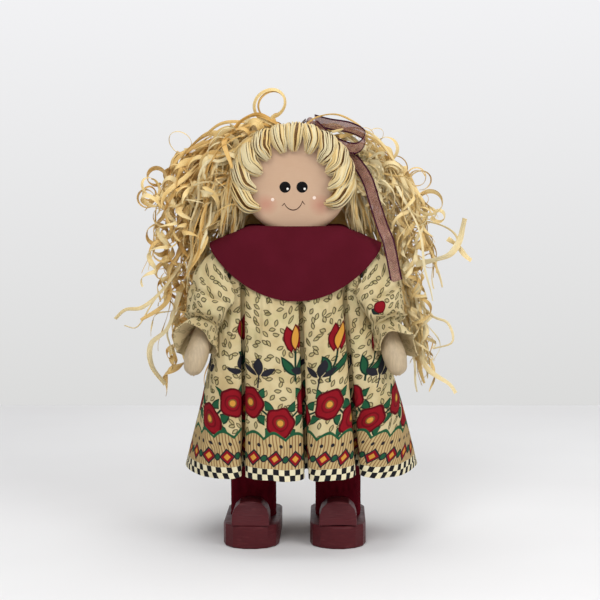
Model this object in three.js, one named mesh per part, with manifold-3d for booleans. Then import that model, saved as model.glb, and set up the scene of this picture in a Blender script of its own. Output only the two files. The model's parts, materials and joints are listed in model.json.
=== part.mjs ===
// A folk-art wooden doll: a pine torso on two dowel legs with block shoes, a flat round head on a neck
// dowel, peg arms that swing on shoulder screws, a gathered cotton dress with a cape collar, looped
// and curled raffia hair, and a ribbon bow. Millimetres, +Z up, the doll faces -Y, and the
// origin is on the floor between the shoes.
import * as THREE from "three";
import { mergeVertices } from "three/addons/utils/BufferGeometryUtils.js";
import Module from "manifold-3d";

const wasm = await Module();
wasm.setup();

// Clearances
const GLUE_GAP = 0.3; // between pieces that are glued, sewn or laid against each other
const BORE_GAP = 0.3; // round a dowel or a screw in its hole

// Cloth
const COTTON = 1.2; // dress and collar, with its facing
const SLEEVE_COTTON = 1;
const STOCKING = 1.2;

// Shoes
const SOLE_LENGTH = 88;
const SOLE_WIDTH = 46;
const SOLE_THICKNESS = 19;
const SOLE_SETBACK = 1; // how far the middle of the sole lies in front of the leg
const TOE_WIDTH = 31;
const TOE_HEIGHT = 19;
const TOE_FRONT_MARGIN = 2; // from the tip of the sole to the toe block
const TOE_SLOPE = 0.28; // how far the toe block's face leans back for each mm of height
const SHOE_TURN = { left: 2, right: -1 }; // degrees that each toe points outwards
const SHOE_SCREW_LENGTH = 52;
const SHOE_SCREW_RADIUS = 2.2;
const SHOE_SCREW_HEAD_RADIUS = 4.6;
const SHOE_SCREW_RECESS = 1.5;

// Legs
const LEG_DIAMETER = 35;
const LEG_LENGTH = 92;
const LEG_SPACING = 71;
const HIP_DOWEL_RADIUS = 6.35;
const HIP_DOWEL_DEPTH = 20; // into the leg and into the torso
const STOCKING_HEIGHT = 76;

// Torso
const TORSO_WIDTH = 108;
const TORSO_DEPTH = 38;
const TORSO_HEIGHT = 144;
const TORSO_EDGE = 6; // chamfer of the upright edges
const NECK_FLAT = 76; // width of the level top
const SHOULDER_DROP = 16;
const SHOULDER_ROUND = 12;

// Head
const HEAD_DIAMETER = 89;
const HEAD_THICKNESS = 22;
const HEAD_EDGE = 7; // round-over of the rim
const CHIN_CUT = 1.5; // flat that seats the head on the torso
const NECK_DOWEL_RADIUS = 6.35;
const NECK_DOWEL_DEPTH = 28; // into the head and into the torso

// Arms
const SHOULDER_BELOW_TOP = 29;
const SHOULDER_FORWARD = 2;
const ARM_DISC_RADIUS = 10;
const ARM_DISC_THICKNESS = 12;
const ARM_PEG_RADIUS = 5.5;
const ARM_SPREAD = 14; // degrees outwards
const ARM_LEAN = 26; // degrees forwards at rest
const WRIST_REACH = 50; // from the shoulder screw to the top of the hand
const HAND_LENGTH = 44;
const HAND_RADIUS = 10.5;
const HAND_FLATNESS = 0.85;
const HAND_BORE_DEPTH = 12;
const WASHER_RADIUS = 8;
const WASHER_THICKNESS = 2;
const SHOULDER_SCREW_RADIUS = 2.2;
const SHOULDER_SCREW_HEAD_RADIUS = 4.5;
const SHOULDER_SCREW_HEAD = 2.6;
const SHOULDER_SCREW_DEPTH = 24; // into the torso

// Sleeves
const ARMHOLE_RADIUS = 18;
const SLEEVE_WIDTH = 26; // across the arm, below the shoulder
const PUFF_WIDTH = 26;
const PUFF_OUTSET = 5; // how far the puff stands outwards of the arm
const PUFF_DEPTH = 40;
const WRIST_WIDTH = 17.5;
const WRIST_DEPTH = 18;
const PUFF_LENGTH = 46; // from the shoulder screw to the gathers
const RUFFLE_LENGTH = 24;
const RUFFLE_WIDTH = 33;
const RUFFLE_DEPTH = 34;
const RUFFLE_OUTSET = 2.5;

// Dress
const YOKE_DROP = 13; // from the torso's top to the dress's top edge
const YOKE_HALF_WIDTH = 45;
const HEM_HEIGHT = 63;
const HEM_HALF_WIDTH = 97;
const HEM_HALF_DEPTH = 64;
const SKIRT_BELL = 0.88;
const ARMPIT_HALF_DEPTH = 29;
const ARMPIT_EASE = 0.9; // slack of the dress at the sides of the torso
const FOLD_WIDTH = 5.5;
const FOLD_DEPTH_TOP = 2.2;
const FOLD_DEPTH_HEM = 15;
const FOLD_LIFT = 3; // how far the hem rises at a fold
// Where the deep folds start at the yoke and end at the hem, across the dress.
const FRONT_FOLDS = [
  [-43, -42],
  [4, 9],
  [40, 50],
];
const BACK_FOLDS = [
  [-40, -62],
  [-13, -20],
  [14, 24],
  [41, 64],
];
const SKIRT_ROWS = 6;
const DRESS_COLUMNS = 36;

// Collar
const NECKLINE_HALF_WIDTH = 34;
const NECKLINE_HALF_DEPTH = 16;
const COLLAR_RISE = 8; // the roll line, above the torso
const COLLAR_HALF_WIDTH = 71;
const COLLAR_HALF_DEPTH = 35;
const COLLAR_FRONT_DROP = 61;
const COLLAR_SLEEVE_GAP = 3.5; // between the cape's sides and the sleeves below them
const COLLAR_COLUMNS = 34;
const COLLAR_ROWS = 6;

// Raffia
const BANG_COUNT = 11;
const BANG_LOWEST = -20; // degrees above the head's middle, of the lowest loop on each side
const BANG_THICKNESS = 7.4;
const BANG_TIP_SIDE = 35; // from the middle of the face to the ends of the loops
const BANG_TIP_TOP = 27;
const BANG_BACK = 5; // how far each loop reaches behind the middle of the head
const LOCK_SIDES = 6;
const LOCK_STEPS = 15;
const LOCK_ROOT = 0.75; // thickness at the root, as a share of the fullest part
const CROWN_LOOP_RADIUS = 12;
const CROWN_LOOP_STRAND = 1.7;
const CROWN_LOOP_BANG = 7; // the looped hank it stands on, counted from the right

// Ribbon
const RIBBON_WIDTH = 10;
const RIBBON_THICKNESS = 0.8;
const RIBBON_KNOT_RADIUS = 3.4;
const RIBBON_KNOT_X = 12;
const RIBBON_LOOP_LENGTH = 46;

// Heights and places that follow from the sizes above
const LEG_BOTTOM = SOLE_THICKNESS + GLUE_GAP;
const LEG_TOP = LEG_BOTTOM + LEG_LENGTH;
const TORSO_BOTTOM = LEG_TOP + GLUE_GAP;
const TORSO_TOP = TORSO_BOTTOM + TORSO_HEIGHT;
const HEAD_RADIUS = HEAD_DIAMETER / 2;
const HEAD_Z = TORSO_TOP + GLUE_GAP + HEAD_RADIUS - CHIN_CUT;
const HEAD_FRONT = -HEAD_THICKNESS / 2;
const HEAD_BACK = HEAD_THICKNESS / 2;
const SHOULDER_Z = TORSO_TOP - SHOULDER_BELOW_TOP;
const ARM_INNER = TORSO_WIDTH / 2 + 2 * GLUE_GAP + WASHER_THICKNESS;
const SHOULDER_X = ARM_INNER + ARM_DISC_THICKNESS / 2;
const ARMPIT_Z = SHOULDER_Z - ARMHOLE_RADIUS - 3 * GLUE_GAP;
const ARMPIT_HALF_WIDTH = TORSO_WIDTH / 2 + GLUE_GAP + COTTON + ARMPIT_EASE;
const YOKE_Z = TORSO_TOP - YOKE_DROP;
const YOKE_HALF_DEPTH = TORSO_DEPTH / 2 + GLUE_GAP + COTTON;
const ROLL_Z = TORSO_TOP + COLLAR_RISE;
const COLLAR_SIDE_Z = SHOULDER_Z + ARMHOLE_RADIUS + COLLAR_SLEEVE_GAP;
const BANG_PITCH = (180 - 2 * BANG_LOWEST) / (BANG_COUNT - 1);
const BANG_HALF = BANG_THICKNESS / 2;
const HAIR_RADIUS = HEAD_RADIUS + GLUE_GAP + BANG_THICKNESS; // outside of the looped hair
const HAIR_GROWTH = HEAD_DIAMETER / 89; // the loose hair is drawn for a head of 89 mm

const SIDES = { left: -1, right: 1 };

function finish(color, roughness, metalness = 0) {
  return new THREE.MeshStandardMaterial({ color, roughness, metalness });
}

const PINE = finish("#c7a066", 0.7);
const FACE_PAINT = finish("#c7a283", 0.55);
const HAND_PAINT = finish("#cbbda4", 0.6);
const SHOE_PAINT = finish("#4b1f25", 0.5);
const STEEL = finish("#9c9c9a", 0.35, 1);
const VELVET = finish("#3c0612", 0.9);
const PRINT = finish("#cdbb8a", 0.85);
const BURGUNDY = finish("#581222", 0.85);
const RAFFIA = finish("#c8ab6b", 0.6);
const ORGANZA = finish("#96757b", 0.4);

const at = (x, y, z) => new THREE.Vector3(x, y, z);
const radians = THREE.MathUtils.degToRad;
const mix = THREE.MathUtils.lerp;
const clamp01 = (value) => THREE.MathUtils.clamp(value, 0, 1);
const power = (value, exponent) => Math.sign(value) * Math.abs(value) ** exponent;

const doll = new THREE.Group();

function add(parent, name, geometry, material) {
  const mesh = new THREE.Mesh(geometry, material);
  mesh.name = name;
  parent.add(mesh);
  return mesh;
}

// Solids: booleans, lofts, shells, sweeps

function toSolid(geometry) {
  const loose = geometry.index ? geometry.toNonIndexed() : geometry;
  const bare = new THREE.BufferGeometry().setAttribute("position", loose.getAttribute("position"));
  const merged = mergeVertices(bare, 1e-4);
  const vertProperties = merged.attributes.position.array;
  const triVerts = new Uint32Array(merged.index.array);
  return new wasm.Manifold(new wasm.Mesh({ numProp: 3, vertProperties, triVerts }));
}

function toGeometry(solid) {
  const mesh = solid.getMesh();
  return new THREE.BufferGeometry()
    .setAttribute("position", new THREE.BufferAttribute(mesh.vertProperties, 3))
    .setIndex(new THREE.BufferAttribute(mesh.triVerts, 1));
}

function cut(body, ...tools) {
  return toGeometry(tools.reduce((rest, tool) => rest.subtract(toSolid(tool)), toSolid(body)));
}

function join(body, ...others) {
  return toGeometry(others.reduce((sum, other) => sum.add(toSolid(other)), toSolid(body)));
}

// Points and triangles as a geometry whose faces point outwards.
function outward(points, triangles) {
  const volume = triangles.reduce((sum, [a, b, c]) => {
    return sum + points[a].dot(at(0, 0, 0).crossVectors(points[b], points[c]));
  }, 0);
  const faces = volume < 0 ? triangles.map(([a, b, c]) => [a, c, b]) : triangles;
  return new THREE.BufferGeometry().setFromPoints(points).setIndex(faces.flat());
}

function quad(a, b, c, d) {
  return [
    [a, b, c],
    [a, c, d],
  ];
}

// A closed solid through a stack of rings that have the same number of points.
function loft(rings) {
  const count = rings[0].length;
  const points = rings.flat();
  const triangles = [];
  rings.slice(1).forEach((_, level) => {
    for (let i = 0; i < count; i++) {
      const next = (i + 1) % count;
      const low = level * count;
      triangles.push(...quad(low + i, low + next, low + count + next, low + count + i));
    }
  });
  const last = (rings.length - 1) * count;
  for (let i = 1; i < count - 1; i++) {
    triangles.push([0, i + 1, i], [last, last + i, last + i + 1]);
  }
  return outward(points, triangles);
}

// A wall of even thickness under a grid of points. The grid is its outer face, and the last row
// shows which side is out. A closed grid goes all the way round.
function shell(rows, thickness, closed) {
  const height = rows.length;
  const count = rows[0].length;
  const across = (i) => (closed ? (i + count) % count : THREE.MathUtils.clamp(i, 0, count - 1));
  const along = (r) => THREE.MathUtils.clamp(r, 0, height - 1);
  const normals = rows.map((row, r) =>
    row.map((_, i) => {
      const u = row[across(i + 1)].clone().sub(row[across(i - 1)]);
      const v = rows[along(r + 1)][i].clone().sub(rows[along(r - 1)][i]);
      return u.cross(v).normalize();
    }),
  );
  const edge = rows[height - 1];
  const middle = edge.reduce((sum, p) => sum.add(p), at(0, 0, 0)).divideScalar(count);
  const facing = edge.reduce((sum, p, i) => {
    return sum + p.clone().sub(middle).dot(normals[height - 1][i]);
  }, 0);
  const step = facing > 0 ? -thickness : thickness;
  const outer = rows.flat();
  const inner = outer.map((p, k) => p.clone().addScaledVector(normals.flat()[k], step));
  const points = [...outer, ...inner];
  const under = outer.length;
  const triangles = [];
  const columns = closed ? count : count - 1;
  for (let r = 0; r < height - 1; r++) {
    for (let i = 0; i < columns; i++) {
      const a = r * count + i;
      const b = r * count + ((i + 1) % count);
      triangles.push(...quad(a, b, b + count, a + count));
      triangles.push(...quad(under + a, under + a + count, under + b + count, under + b));
    }
  }
  for (let i = 0; i < columns; i++) {
    const next = (i + 1) % count;
    const low = (height - 1) * count;
    triangles.push(...quad(i, under + i, under + next, next));
    triangles.push(...quad(low + i, low + next, under + low + next, under + low + i));
  }
  for (let r = 0; r < height - 1 && !closed; r++) {
    const a = r * count;
    const b = a + count - 1;
    triangles.push(...quad(a, a + count, under + a + count, under + a));
    triangles.push(...quad(b, under + b, under + b + count, b + count));
  }
  return outward(points, triangles);
}

function ellipse(centre, first, second, count) {
  return Array.from({ length: count }, (_, i) => {
    const turn = (i / count) * 2 * Math.PI;
    return centre
      .clone()
      .addScaledVector(first, Math.cos(turn))
      .addScaledVector(second, Math.sin(turn));
  });
}

// A tapered round strand along a curve.
function sweep(curve, radiusAt, sides, steps) {
  const frames = curve.computeFrenetFrames(steps, false);
  const rings = frames.tangents.map((_, k) => {
    const radius = radiusAt(k / steps);
    const first = frames.normals[k].clone().multiplyScalar(radius);
    const second = frames.binormals[k].clone().multiplyScalar(radius);
    return ellipse(curve.getPointAt(k / steps), first, second, sides);
  });
  return loft(rings);
}

// A flat band along a curve. widthAt gives the direction across it.
function band(curve, widthAt, steps) {
  const rings = Array.from({ length: steps + 1 }, (_, k) => {
    const share = k / steps;
    const across = widthAt(share).clone().normalize();
    const normal = curve.getTangentAt(share).cross(across).normalize();
    const half = across.multiplyScalar(RIBBON_WIDTH / 2);
    const thick = normal.multiplyScalar(RIBBON_THICKNESS / 2);
    const middle = curve.getPointAt(share);
    return [
      middle.clone().add(half).add(thick),
      middle.clone().sub(half).add(thick),
      middle.clone().sub(half).sub(thick),
      middle.clone().add(half).sub(thick),
    ];
  });
  return loft(rings);
}

function rod(radius, length, segments = 14) {
  return new THREE.CylinderGeometry(radius, radius, length, segments).rotateX(Math.PI / 2);
}

// A countersunk or round-headed wood screw along +Z, its head's underside at the origin.
function screw(radius, length, headRadius, headHeight) {
  const profile = [
    new THREE.Vector2(0, -headHeight),
    new THREE.Vector2(headRadius * 0.8, -headHeight),
    new THREE.Vector2(headRadius, -headHeight * 0.4),
    new THREE.Vector2(headRadius, 0),
    new THREE.Vector2(radius, 0),
    new THREE.Vector2(radius, length - 2 * radius),
    new THREE.Vector2(0, length),
  ];
  return new THREE.LatheGeometry(profile, 12).rotateX(Math.PI / 2);
}

// Shoes: a band-sawn sole, an arched toe block and the screw that holds the leg

function soleOutline() {
  const half = SOLE_WIDTH / 2;
  const toeReach = SOLE_WIDTH * 0.42;
  const heelReach = SOLE_WIDTH * 0.3;
  const front = -SOLE_LENGTH / 2 + toeReach;
  const back = SOLE_LENGTH / 2 - heelReach;
  const shape = new THREE.Shape();
  shape.moveTo(half, front);
  shape.lineTo(half, back);
  shape.absellipse(0, back, half, heelReach, 0, Math.PI, false, 0);
  shape.lineTo(-half, front);
  shape.absellipse(0, front, half, toeReach, Math.PI, 2 * Math.PI, false, 0);
  return shape;
}

function sole() {
  const slab = new THREE.ExtrudeGeometry(soleOutline(), {
    depth: SOLE_THICKNESS,
    bevelEnabled: false,
    curveSegments: 9,
  });
  const hole = rod(SHOE_SCREW_RADIUS + BORE_GAP, 3 * SOLE_THICKNESS).translate(0, SOLE_SETBACK, 0);
  const recessDepth = SHOE_SCREW_RECESS + SHOE_SCREW_HEAD_RADIUS;
  const recess = rod(SHOE_SCREW_HEAD_RADIUS + BORE_GAP, 2 * recessDepth).translate(0, SOLE_SETBACK, 0);
  return cut(slab, hole, recess);
}

function toeBlock() {
  const half = TOE_WIDTH / 2;
  const front = -SOLE_LENGTH / 2 + TOE_FRONT_MARGIN;
  const legFront = LEG_DIAMETER / 2 + GLUE_GAP + STOCKING + GLUE_GAP;
  const back = SOLE_SETBACK - legFront - GLUE_GAP;
  const arch = new THREE.Shape();
  arch.moveTo(-half, 0);
  arch.lineTo(half, 0);
  arch.lineTo(half * 0.92, TOE_HEIGHT * 0.45);
  arch.absellipse(0, TOE_HEIGHT * 0.45, half * 0.92, TOE_HEIGHT * 0.55, 0, Math.PI, false, 0);
  const outline = arch.extractPoints(8).shape;
  const ring = (depthAt) => outline.map((p) => at(p.x, depthAt(p.y), SOLE_THICKNESS + GLUE_GAP + p.y));
  return loft([ring((height) => front + TOE_SLOPE * height), ring(() => back)]);
}

function shoeScrew() {
  const length = SHOE_SCREW_LENGTH;
  return screw(SHOE_SCREW_RADIUS, length, SHOE_SCREW_HEAD_RADIUS, SHOE_SCREW_HEAD_RADIUS).translate(
    0,
    SOLE_SETBACK,
    SHOE_SCREW_RECESS + SHOE_SCREW_HEAD_RADIUS - GLUE_GAP,
  );
}

// Legs: a dowel post with a stocking, pinned to the torso

function leg() {
  const post = rod(LEG_DIAMETER / 2, LEG_LENGTH, 24).translate(0, 0, LEG_BOTTOM + LEG_LENGTH / 2);
  const screwTop = SHOE_SCREW_RECESS + SHOE_SCREW_HEAD_RADIUS + SHOE_SCREW_LENGTH;
  const screwHole = rod(SHOE_SCREW_RADIUS + BORE_GAP, 2 * screwTop);
  const dowelHole = rod(HIP_DOWEL_RADIUS + BORE_GAP, 2 * (HIP_DOWEL_DEPTH + BORE_GAP));
  return cut(post, screwHole, dowelHole.translate(0, 0, LEG_TOP));
}

function stocking() {
  const inner = LEG_DIAMETER / 2 + GLUE_GAP;
  const outer = inner + STOCKING;
  const top = LEG_BOTTOM + STOCKING_HEIGHT;
  const bottom = LEG_BOTTOM;
  const profile = [
    [inner, bottom],
    [outer, bottom],
    [outer, top],
    [inner, top],
    [inner, bottom],
  ].map(([radius, height]) => new THREE.Vector2(radius, height));
  return new THREE.LatheGeometry(profile, 24).rotateX(Math.PI / 2);
}

function hipDowel() {
  return rod(HIP_DOWEL_RADIUS, 2 * HIP_DOWEL_DEPTH).translate(0, 0, LEG_TOP + GLUE_GAP / 2);
}

// Torso: a board with sloped shoulders and bored for its dowels and screws

function torso() {
  const half = TORSO_WIDTH / 2;
  const flat = NECK_FLAT / 2;
  const shoulder = TORSO_TOP - SHOULDER_DROP;
  const shape = new THREE.Shape();
  shape.moveTo(-half, TORSO_BOTTOM);
  shape.lineTo(half, TORSO_BOTTOM);
  shape.lineTo(half, shoulder - SHOULDER_ROUND);
  shape.quadraticCurveTo(half, shoulder, half - SHOULDER_ROUND * 0.6, shoulder + 1.5);
  shape.lineTo(flat, TORSO_TOP);
  shape.lineTo(-flat, TORSO_TOP);
  shape.lineTo(SHOULDER_ROUND * 0.6 - half, shoulder + 1.5);
  shape.quadraticCurveTo(-half, shoulder, -half, shoulder - SHOULDER_ROUND);
  const front = new THREE.ExtrudeGeometry(shape, {
    depth: TORSO_DEPTH,
    bevelEnabled: false,
    curveSegments: 5,
  });
  front.rotateX(Math.PI / 2).translate(0, TORSO_DEPTH / 2, 0);
  const neckHole = rod(NECK_DOWEL_RADIUS + BORE_GAP, 2 * (NECK_DOWEL_DEPTH + BORE_GAP));
  const holes = [neckHole.translate(0, 0, TORSO_TOP)];
  for (const side of Object.values(SIDES)) {
    const dowel = rod(HIP_DOWEL_RADIUS + BORE_GAP, 2 * (HIP_DOWEL_DEPTH + BORE_GAP));
    holes.push(dowel.translate((side * LEG_SPACING) / 2, 0, TORSO_BOTTOM));
    const pilot = rod(SHOULDER_SCREW_RADIUS + BORE_GAP, 2 * SHOULDER_SCREW_DEPTH, 12);
    holes.push(pilot.rotateY(Math.PI / 2).translate(side * half, -SHOULDER_FORWARD, SHOULDER_Z));
    for (const face of [-1, 1]) {
      const corner = new THREE.CylinderGeometry(TORSO_EDGE, TORSO_EDGE, 4 * TORSO_HEIGHT, 4, 1);
      corner.rotateX(Math.PI / 2);
      holes.push(corner.translate(side * half, (face * TORSO_DEPTH) / 2, TORSO_BOTTOM));
    }
  }
  return cut(front, ...holes);
}

// Head: a disc with a rounded rim, flattened under the chin

function head() {
  const half = HEAD_THICKNESS / 2;
  const profile = [new THREE.Vector2(0, -half)];
  for (const [middle, start] of [
    [HEAD_EDGE - half, -90],
    [half - HEAD_EDGE, 0],
  ]) {
    for (let step = 0; step <= 3; step++) {
      const turn = radians(start + step * 30);
      const radius = HEAD_RADIUS - HEAD_EDGE + HEAD_EDGE * Math.cos(turn);
      profile.push(new THREE.Vector2(radius, middle + HEAD_EDGE * Math.sin(turn)));
    }
  }
  profile.push(new THREE.Vector2(0, half));
  const disc = new THREE.LatheGeometry(profile, 36);
  const chin = new THREE.BoxGeometry(HEAD_DIAMETER, HEAD_DIAMETER, HEAD_DIAMETER);
  chin.translate(0, 0, -HEAD_RADIUS + CHIN_CUT - HEAD_DIAMETER / 2);
  const socket = rod(NECK_DOWEL_RADIUS + BORE_GAP, 2 * (NECK_DOWEL_DEPTH + BORE_GAP));
  socket.translate(0, 0, CHIN_CUT - HEAD_RADIUS);
  return cut(disc, chin, socket).translate(0, 0, HEAD_Z);
}

function neckDowel() {
  return rod(NECK_DOWEL_RADIUS, 2 * NECK_DOWEL_DEPTH).translate(0, 0, TORSO_TOP + GLUE_GAP / 2);
}

// Arms, in a frame with its origin on the shoulder screw, X outwards and -Z down the arm

function armPoint(reach) {
  const below = Math.max(0, reach - ARM_DISC_RADIUS / 2);
  return at(below * Math.tan(radians(ARM_SPREAD)), 0, -reach);
}

function arm() {
  const disc = rod(ARM_DISC_RADIUS, ARM_DISC_THICKNESS, 24).rotateY(Math.PI / 2);
  const bare = (WRIST_REACH - ARM_DISC_RADIUS / 2) / Math.cos(radians(ARM_SPREAD));
  const length = bare + HAND_BORE_DEPTH - BORE_GAP;
  const peg = rod(ARM_PEG_RADIUS, length, 16).translate(0, 0, -length / 2);
  peg.rotateY(-radians(ARM_SPREAD)).translate(0, 0, -ARM_DISC_RADIUS / 2);
  const bore = rod(SHOULDER_SCREW_RADIUS + BORE_GAP, 4 * ARM_DISC_THICKNESS, 12).rotateY(Math.PI / 2);
  return cut(join(disc, peg), bore);
}

function hand() {
  const top = ARM_PEG_RADIUS + BORE_GAP + 1.6;
  const outline = new THREE.CatmullRomCurve3([
    at(top, 0, 0),
    at(HAND_RADIUS * 0.88, HAND_LENGTH * 0.3, 0),
    at(HAND_RADIUS, HAND_LENGTH * 0.62, 0),
    at(HAND_RADIUS * 0.72, HAND_LENGTH * 0.9, 0),
    at(0, HAND_LENGTH, 0),
  ]);
  const side = outline.getPoints(8).map((p) => new THREE.Vector2(Math.max(p.x, 0), -p.y));
  side[side.length - 1].x = 0;
  const egg = new THREE.LatheGeometry([new THREE.Vector2(0, 0), ...side].reverse(), 14);
  egg.rotateX(Math.PI / 2).scale(1, HAND_FLATNESS, 1);
  const socket = rod(ARM_PEG_RADIUS + BORE_GAP, 2 * HAND_BORE_DEPTH, 16);
  const start = armPoint(WRIST_REACH);
  const turned = cut(egg, socket).rotateY(-radians(ARM_SPREAD));
  return turned.translate(start.x, 0, start.z);
}

// A cloth tube that leaves the armhole sideways, bends down over the arm, swells into a puff, is
// gathered at the wrist and flares into a ruffle.
function sleeve() {
  const armhole = ARM_INNER + GLUE_GAP - SHOULDER_X;
  const armpit = at(armhole, 0, -ARMHOLE_RADIUS);
  const rings = [];
  const ring = (inner, outer, depth) => {
    const middle = inner.clone().add(outer).divideScalar(2);
    const half = outer.clone().sub(inner).divideScalar(2);
    rings.push(ellipse(middle, half, at(0, depth / 2, 0), 16));
  };
  for (let step = 0; step <= 4; step++) {
    const turn = radians(step * 20);
    const inner = armpit.clone().add(at(0.35 * step, 0, -0.9 * step));
    const across = mix(2 * ARMHOLE_RADIUS, SLEEVE_WIDTH, step / 4);
    const reach = at(across * Math.sin(turn), 0, across * Math.cos(turn));
    ring(inner, inner.clone().add(reach), mix(2 * ARMHOLE_RADIUS, PUFF_DEPTH * 0.95, step / 4));
  }
  const level = (reach, width, depth, outset = 0, tilt = 0) => {
    const middle = armPoint(reach).add(at(outset, 0, 0));
    const half = at(width / 2, 0, tilt);
    ring(middle.clone().sub(half), middle.clone().add(half), depth);
  };
  level(PUFF_LENGTH - 13, PUFF_WIDTH - 1, PUFF_DEPTH, PUFF_OUTSET, 1.5);
  level(PUFF_LENGTH - 6, PUFF_WIDTH, PUFF_DEPTH, PUFF_OUTSET);
  const gathering = mix(PUFF_WIDTH, WRIST_WIDTH, 0.5);
  level(PUFF_LENGTH - 1.5, gathering, mix(PUFF_DEPTH, WRIST_DEPTH, 0.4), PUFF_OUTSET / 2);
  level(PUFF_LENGTH + 1.5, WRIST_WIDTH, WRIST_DEPTH);
  for (let step = 1; step <= 3; step++) {
    const share = step / 3;
    const spread = share ** 0.8;
    const width = mix(WRIST_WIDTH, RUFFLE_WIDTH, spread);
    const depth = mix(WRIST_DEPTH, RUFFLE_DEPTH, spread);
    level(PUFF_LENGTH + 1.5 + RUFFLE_LENGTH * share, width, depth, RUFFLE_OUTSET * share);
  }
  return shell(rings, SLEEVE_COTTON, true);
}

function shoulderScrew() {
  const outside = ARM_DISC_THICKNESS / 2 + GLUE_GAP;
  const length = ARM_DISC_THICKNESS + 3 * GLUE_GAP + WASHER_THICKNESS + SHOULDER_SCREW_DEPTH - 1;
  const shank = screw(SHOULDER_SCREW_RADIUS, length, SHOULDER_SCREW_HEAD_RADIUS, SHOULDER_SCREW_HEAD);
  return shank.rotateY(-Math.PI / 2).translate(outside, 0, 0);
}

function washer() {
  const ring = rod(WASHER_RADIUS, WASHER_THICKNESS, 20).rotateY(Math.PI / 2);
  const hole = rod(SHOULDER_SCREW_RADIUS + BORE_GAP, 3 * WASHER_THICKNESS, 12).rotateY(Math.PI / 2);
  return cut(ring, hole).translate(-ARM_DISC_THICKNESS / 2 - GLUE_GAP - WASHER_THICKNESS / 2, 0, 0);
}

// Dress: a front and a back panel from yoke to hem, gathered into folds that deepen downwards

function foldAt(x, share, folds) {
  return folds.reduce((deepest, [top, hem]) => {
    const offset = (x - mix(top, hem, share)) / (FOLD_WIDTH * mix(0.7, 1.25, share));
    return Math.max(deepest, Math.exp(-offset * offset));
  }, 0);
}

function dressRow(level, facing, folds) {
  const bare = mix(YOKE_Z, HEM_HEIGHT, level);
  const flare = clamp01((ARMPIT_Z - bare) / (ARMPIT_Z - HEM_HEIGHT));
  const yoke = clamp01((YOKE_Z - bare) / (YOKE_Z - ARMPIT_Z));
  const halfWidth = mix(ARMPIT_HALF_WIDTH, HEM_HALF_WIDTH, flare ** SKIRT_BELL);
  const bodice = mix(YOKE_HALF_DEPTH, ARMPIT_HALF_DEPTH, yoke);
  const halfDepth = mix(bodice, HEM_HALF_DEPTH, flare ** 1.1);
  const boxiness = mix(mix(16, 5, yoke), 2.2, flare ** 0.4);
  const reach = mix(YOKE_HALF_WIDTH, halfWidth, THREE.MathUtils.smoothstep(yoke, 0, 1));
  const outline = Array.from({ length: 81 }, (_, i) => {
    const x = reach * Math.sin(radians(-90 + (i * 180) / 80));
    const inside = Math.max(0, 1 - Math.abs(x / halfWidth) ** boxiness);
    return new THREE.Vector2(x, halfDepth * inside ** (1 / boxiness));
  });
  const depth = mix(FOLD_DEPTH_TOP * yoke, FOLD_DEPTH_HEM, flare);
  return new THREE.SplineCurve(outline).getSpacedPoints(DRESS_COLUMNS).map((p) => {
    const fold = foldAt(p.x, flare, folds);
    const seam = clamp01(p.y / (0.3 * halfDepth));
    const y = Math.max(p.y - depth * fold * seam, GLUE_GAP / 2);
    return at(p.x, facing * y, bare + FOLD_LIFT * fold * seam * level ** 6);
  });
}

function dressPanel(facing, folds) {
  const armpitLevel = (YOKE_Z - ARMPIT_Z) / (YOKE_Z - HEM_HEIGHT);
  const levels = [0, 0.35, 0.7, 0.85, 0.95].map((share) => share * armpitLevel);
  for (let row = 0; row <= SKIRT_ROWS; row++) {
    levels.push(mix(armpitLevel, 1, row / SKIRT_ROWS));
  }
  const rows = levels.map((level) => dressRow(level, facing, folds));
  return shell(rows, COTTON, false);
}

// Collar: a stand on top of the torso that rolls over into a round cape

function collar() {
  const rows = [];
  const turns = Array.from({ length: COLLAR_COLUMNS }, (_, i) => (i / COLLAR_COLUMNS) * 2 * Math.PI);
  const row = (share, height) => {
    const spread = Math.sin((share * Math.PI) / 2) ** 0.85;
    const roundFall = 1 - Math.cos((share * Math.PI) / 2);
    rows.push(
      turns.map((turn) => {
        const [c, s] = [Math.cos(turn), Math.sin(turn)];
        const x = mix(NECKLINE_HALF_WIDTH * c, COLLAR_HALF_WIDTH * c, spread);
        const y = mix(NECKLINE_HALF_DEPTH * s, COLLAR_HALF_DEPTH * power(s, 0.6), spread);
        const fall = mix(spread, roundFall, clamp01(1.8 * Math.abs(s)));
        const drop = mix(ROLL_Z - COLLAR_SIDE_Z, COLLAR_FRONT_DROP, s * s);
        return at(x, y, height - drop * fall);
      }),
    );
  };
  row(0, TORSO_TOP + GLUE_GAP);
  row(0, mix(TORSO_TOP, ROLL_Z, 0.7));
  for (let step = 1; step <= COLLAR_ROWS; step++) {
    row(mix(0.1, 1, (step - 1) / (COLLAR_ROWS - 1)), ROLL_Z);
  }
  return shell(rows, COTTON, true);
}

// Raffia loops round the face: each comes from behind the head, over its rim and ends on the face

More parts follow.
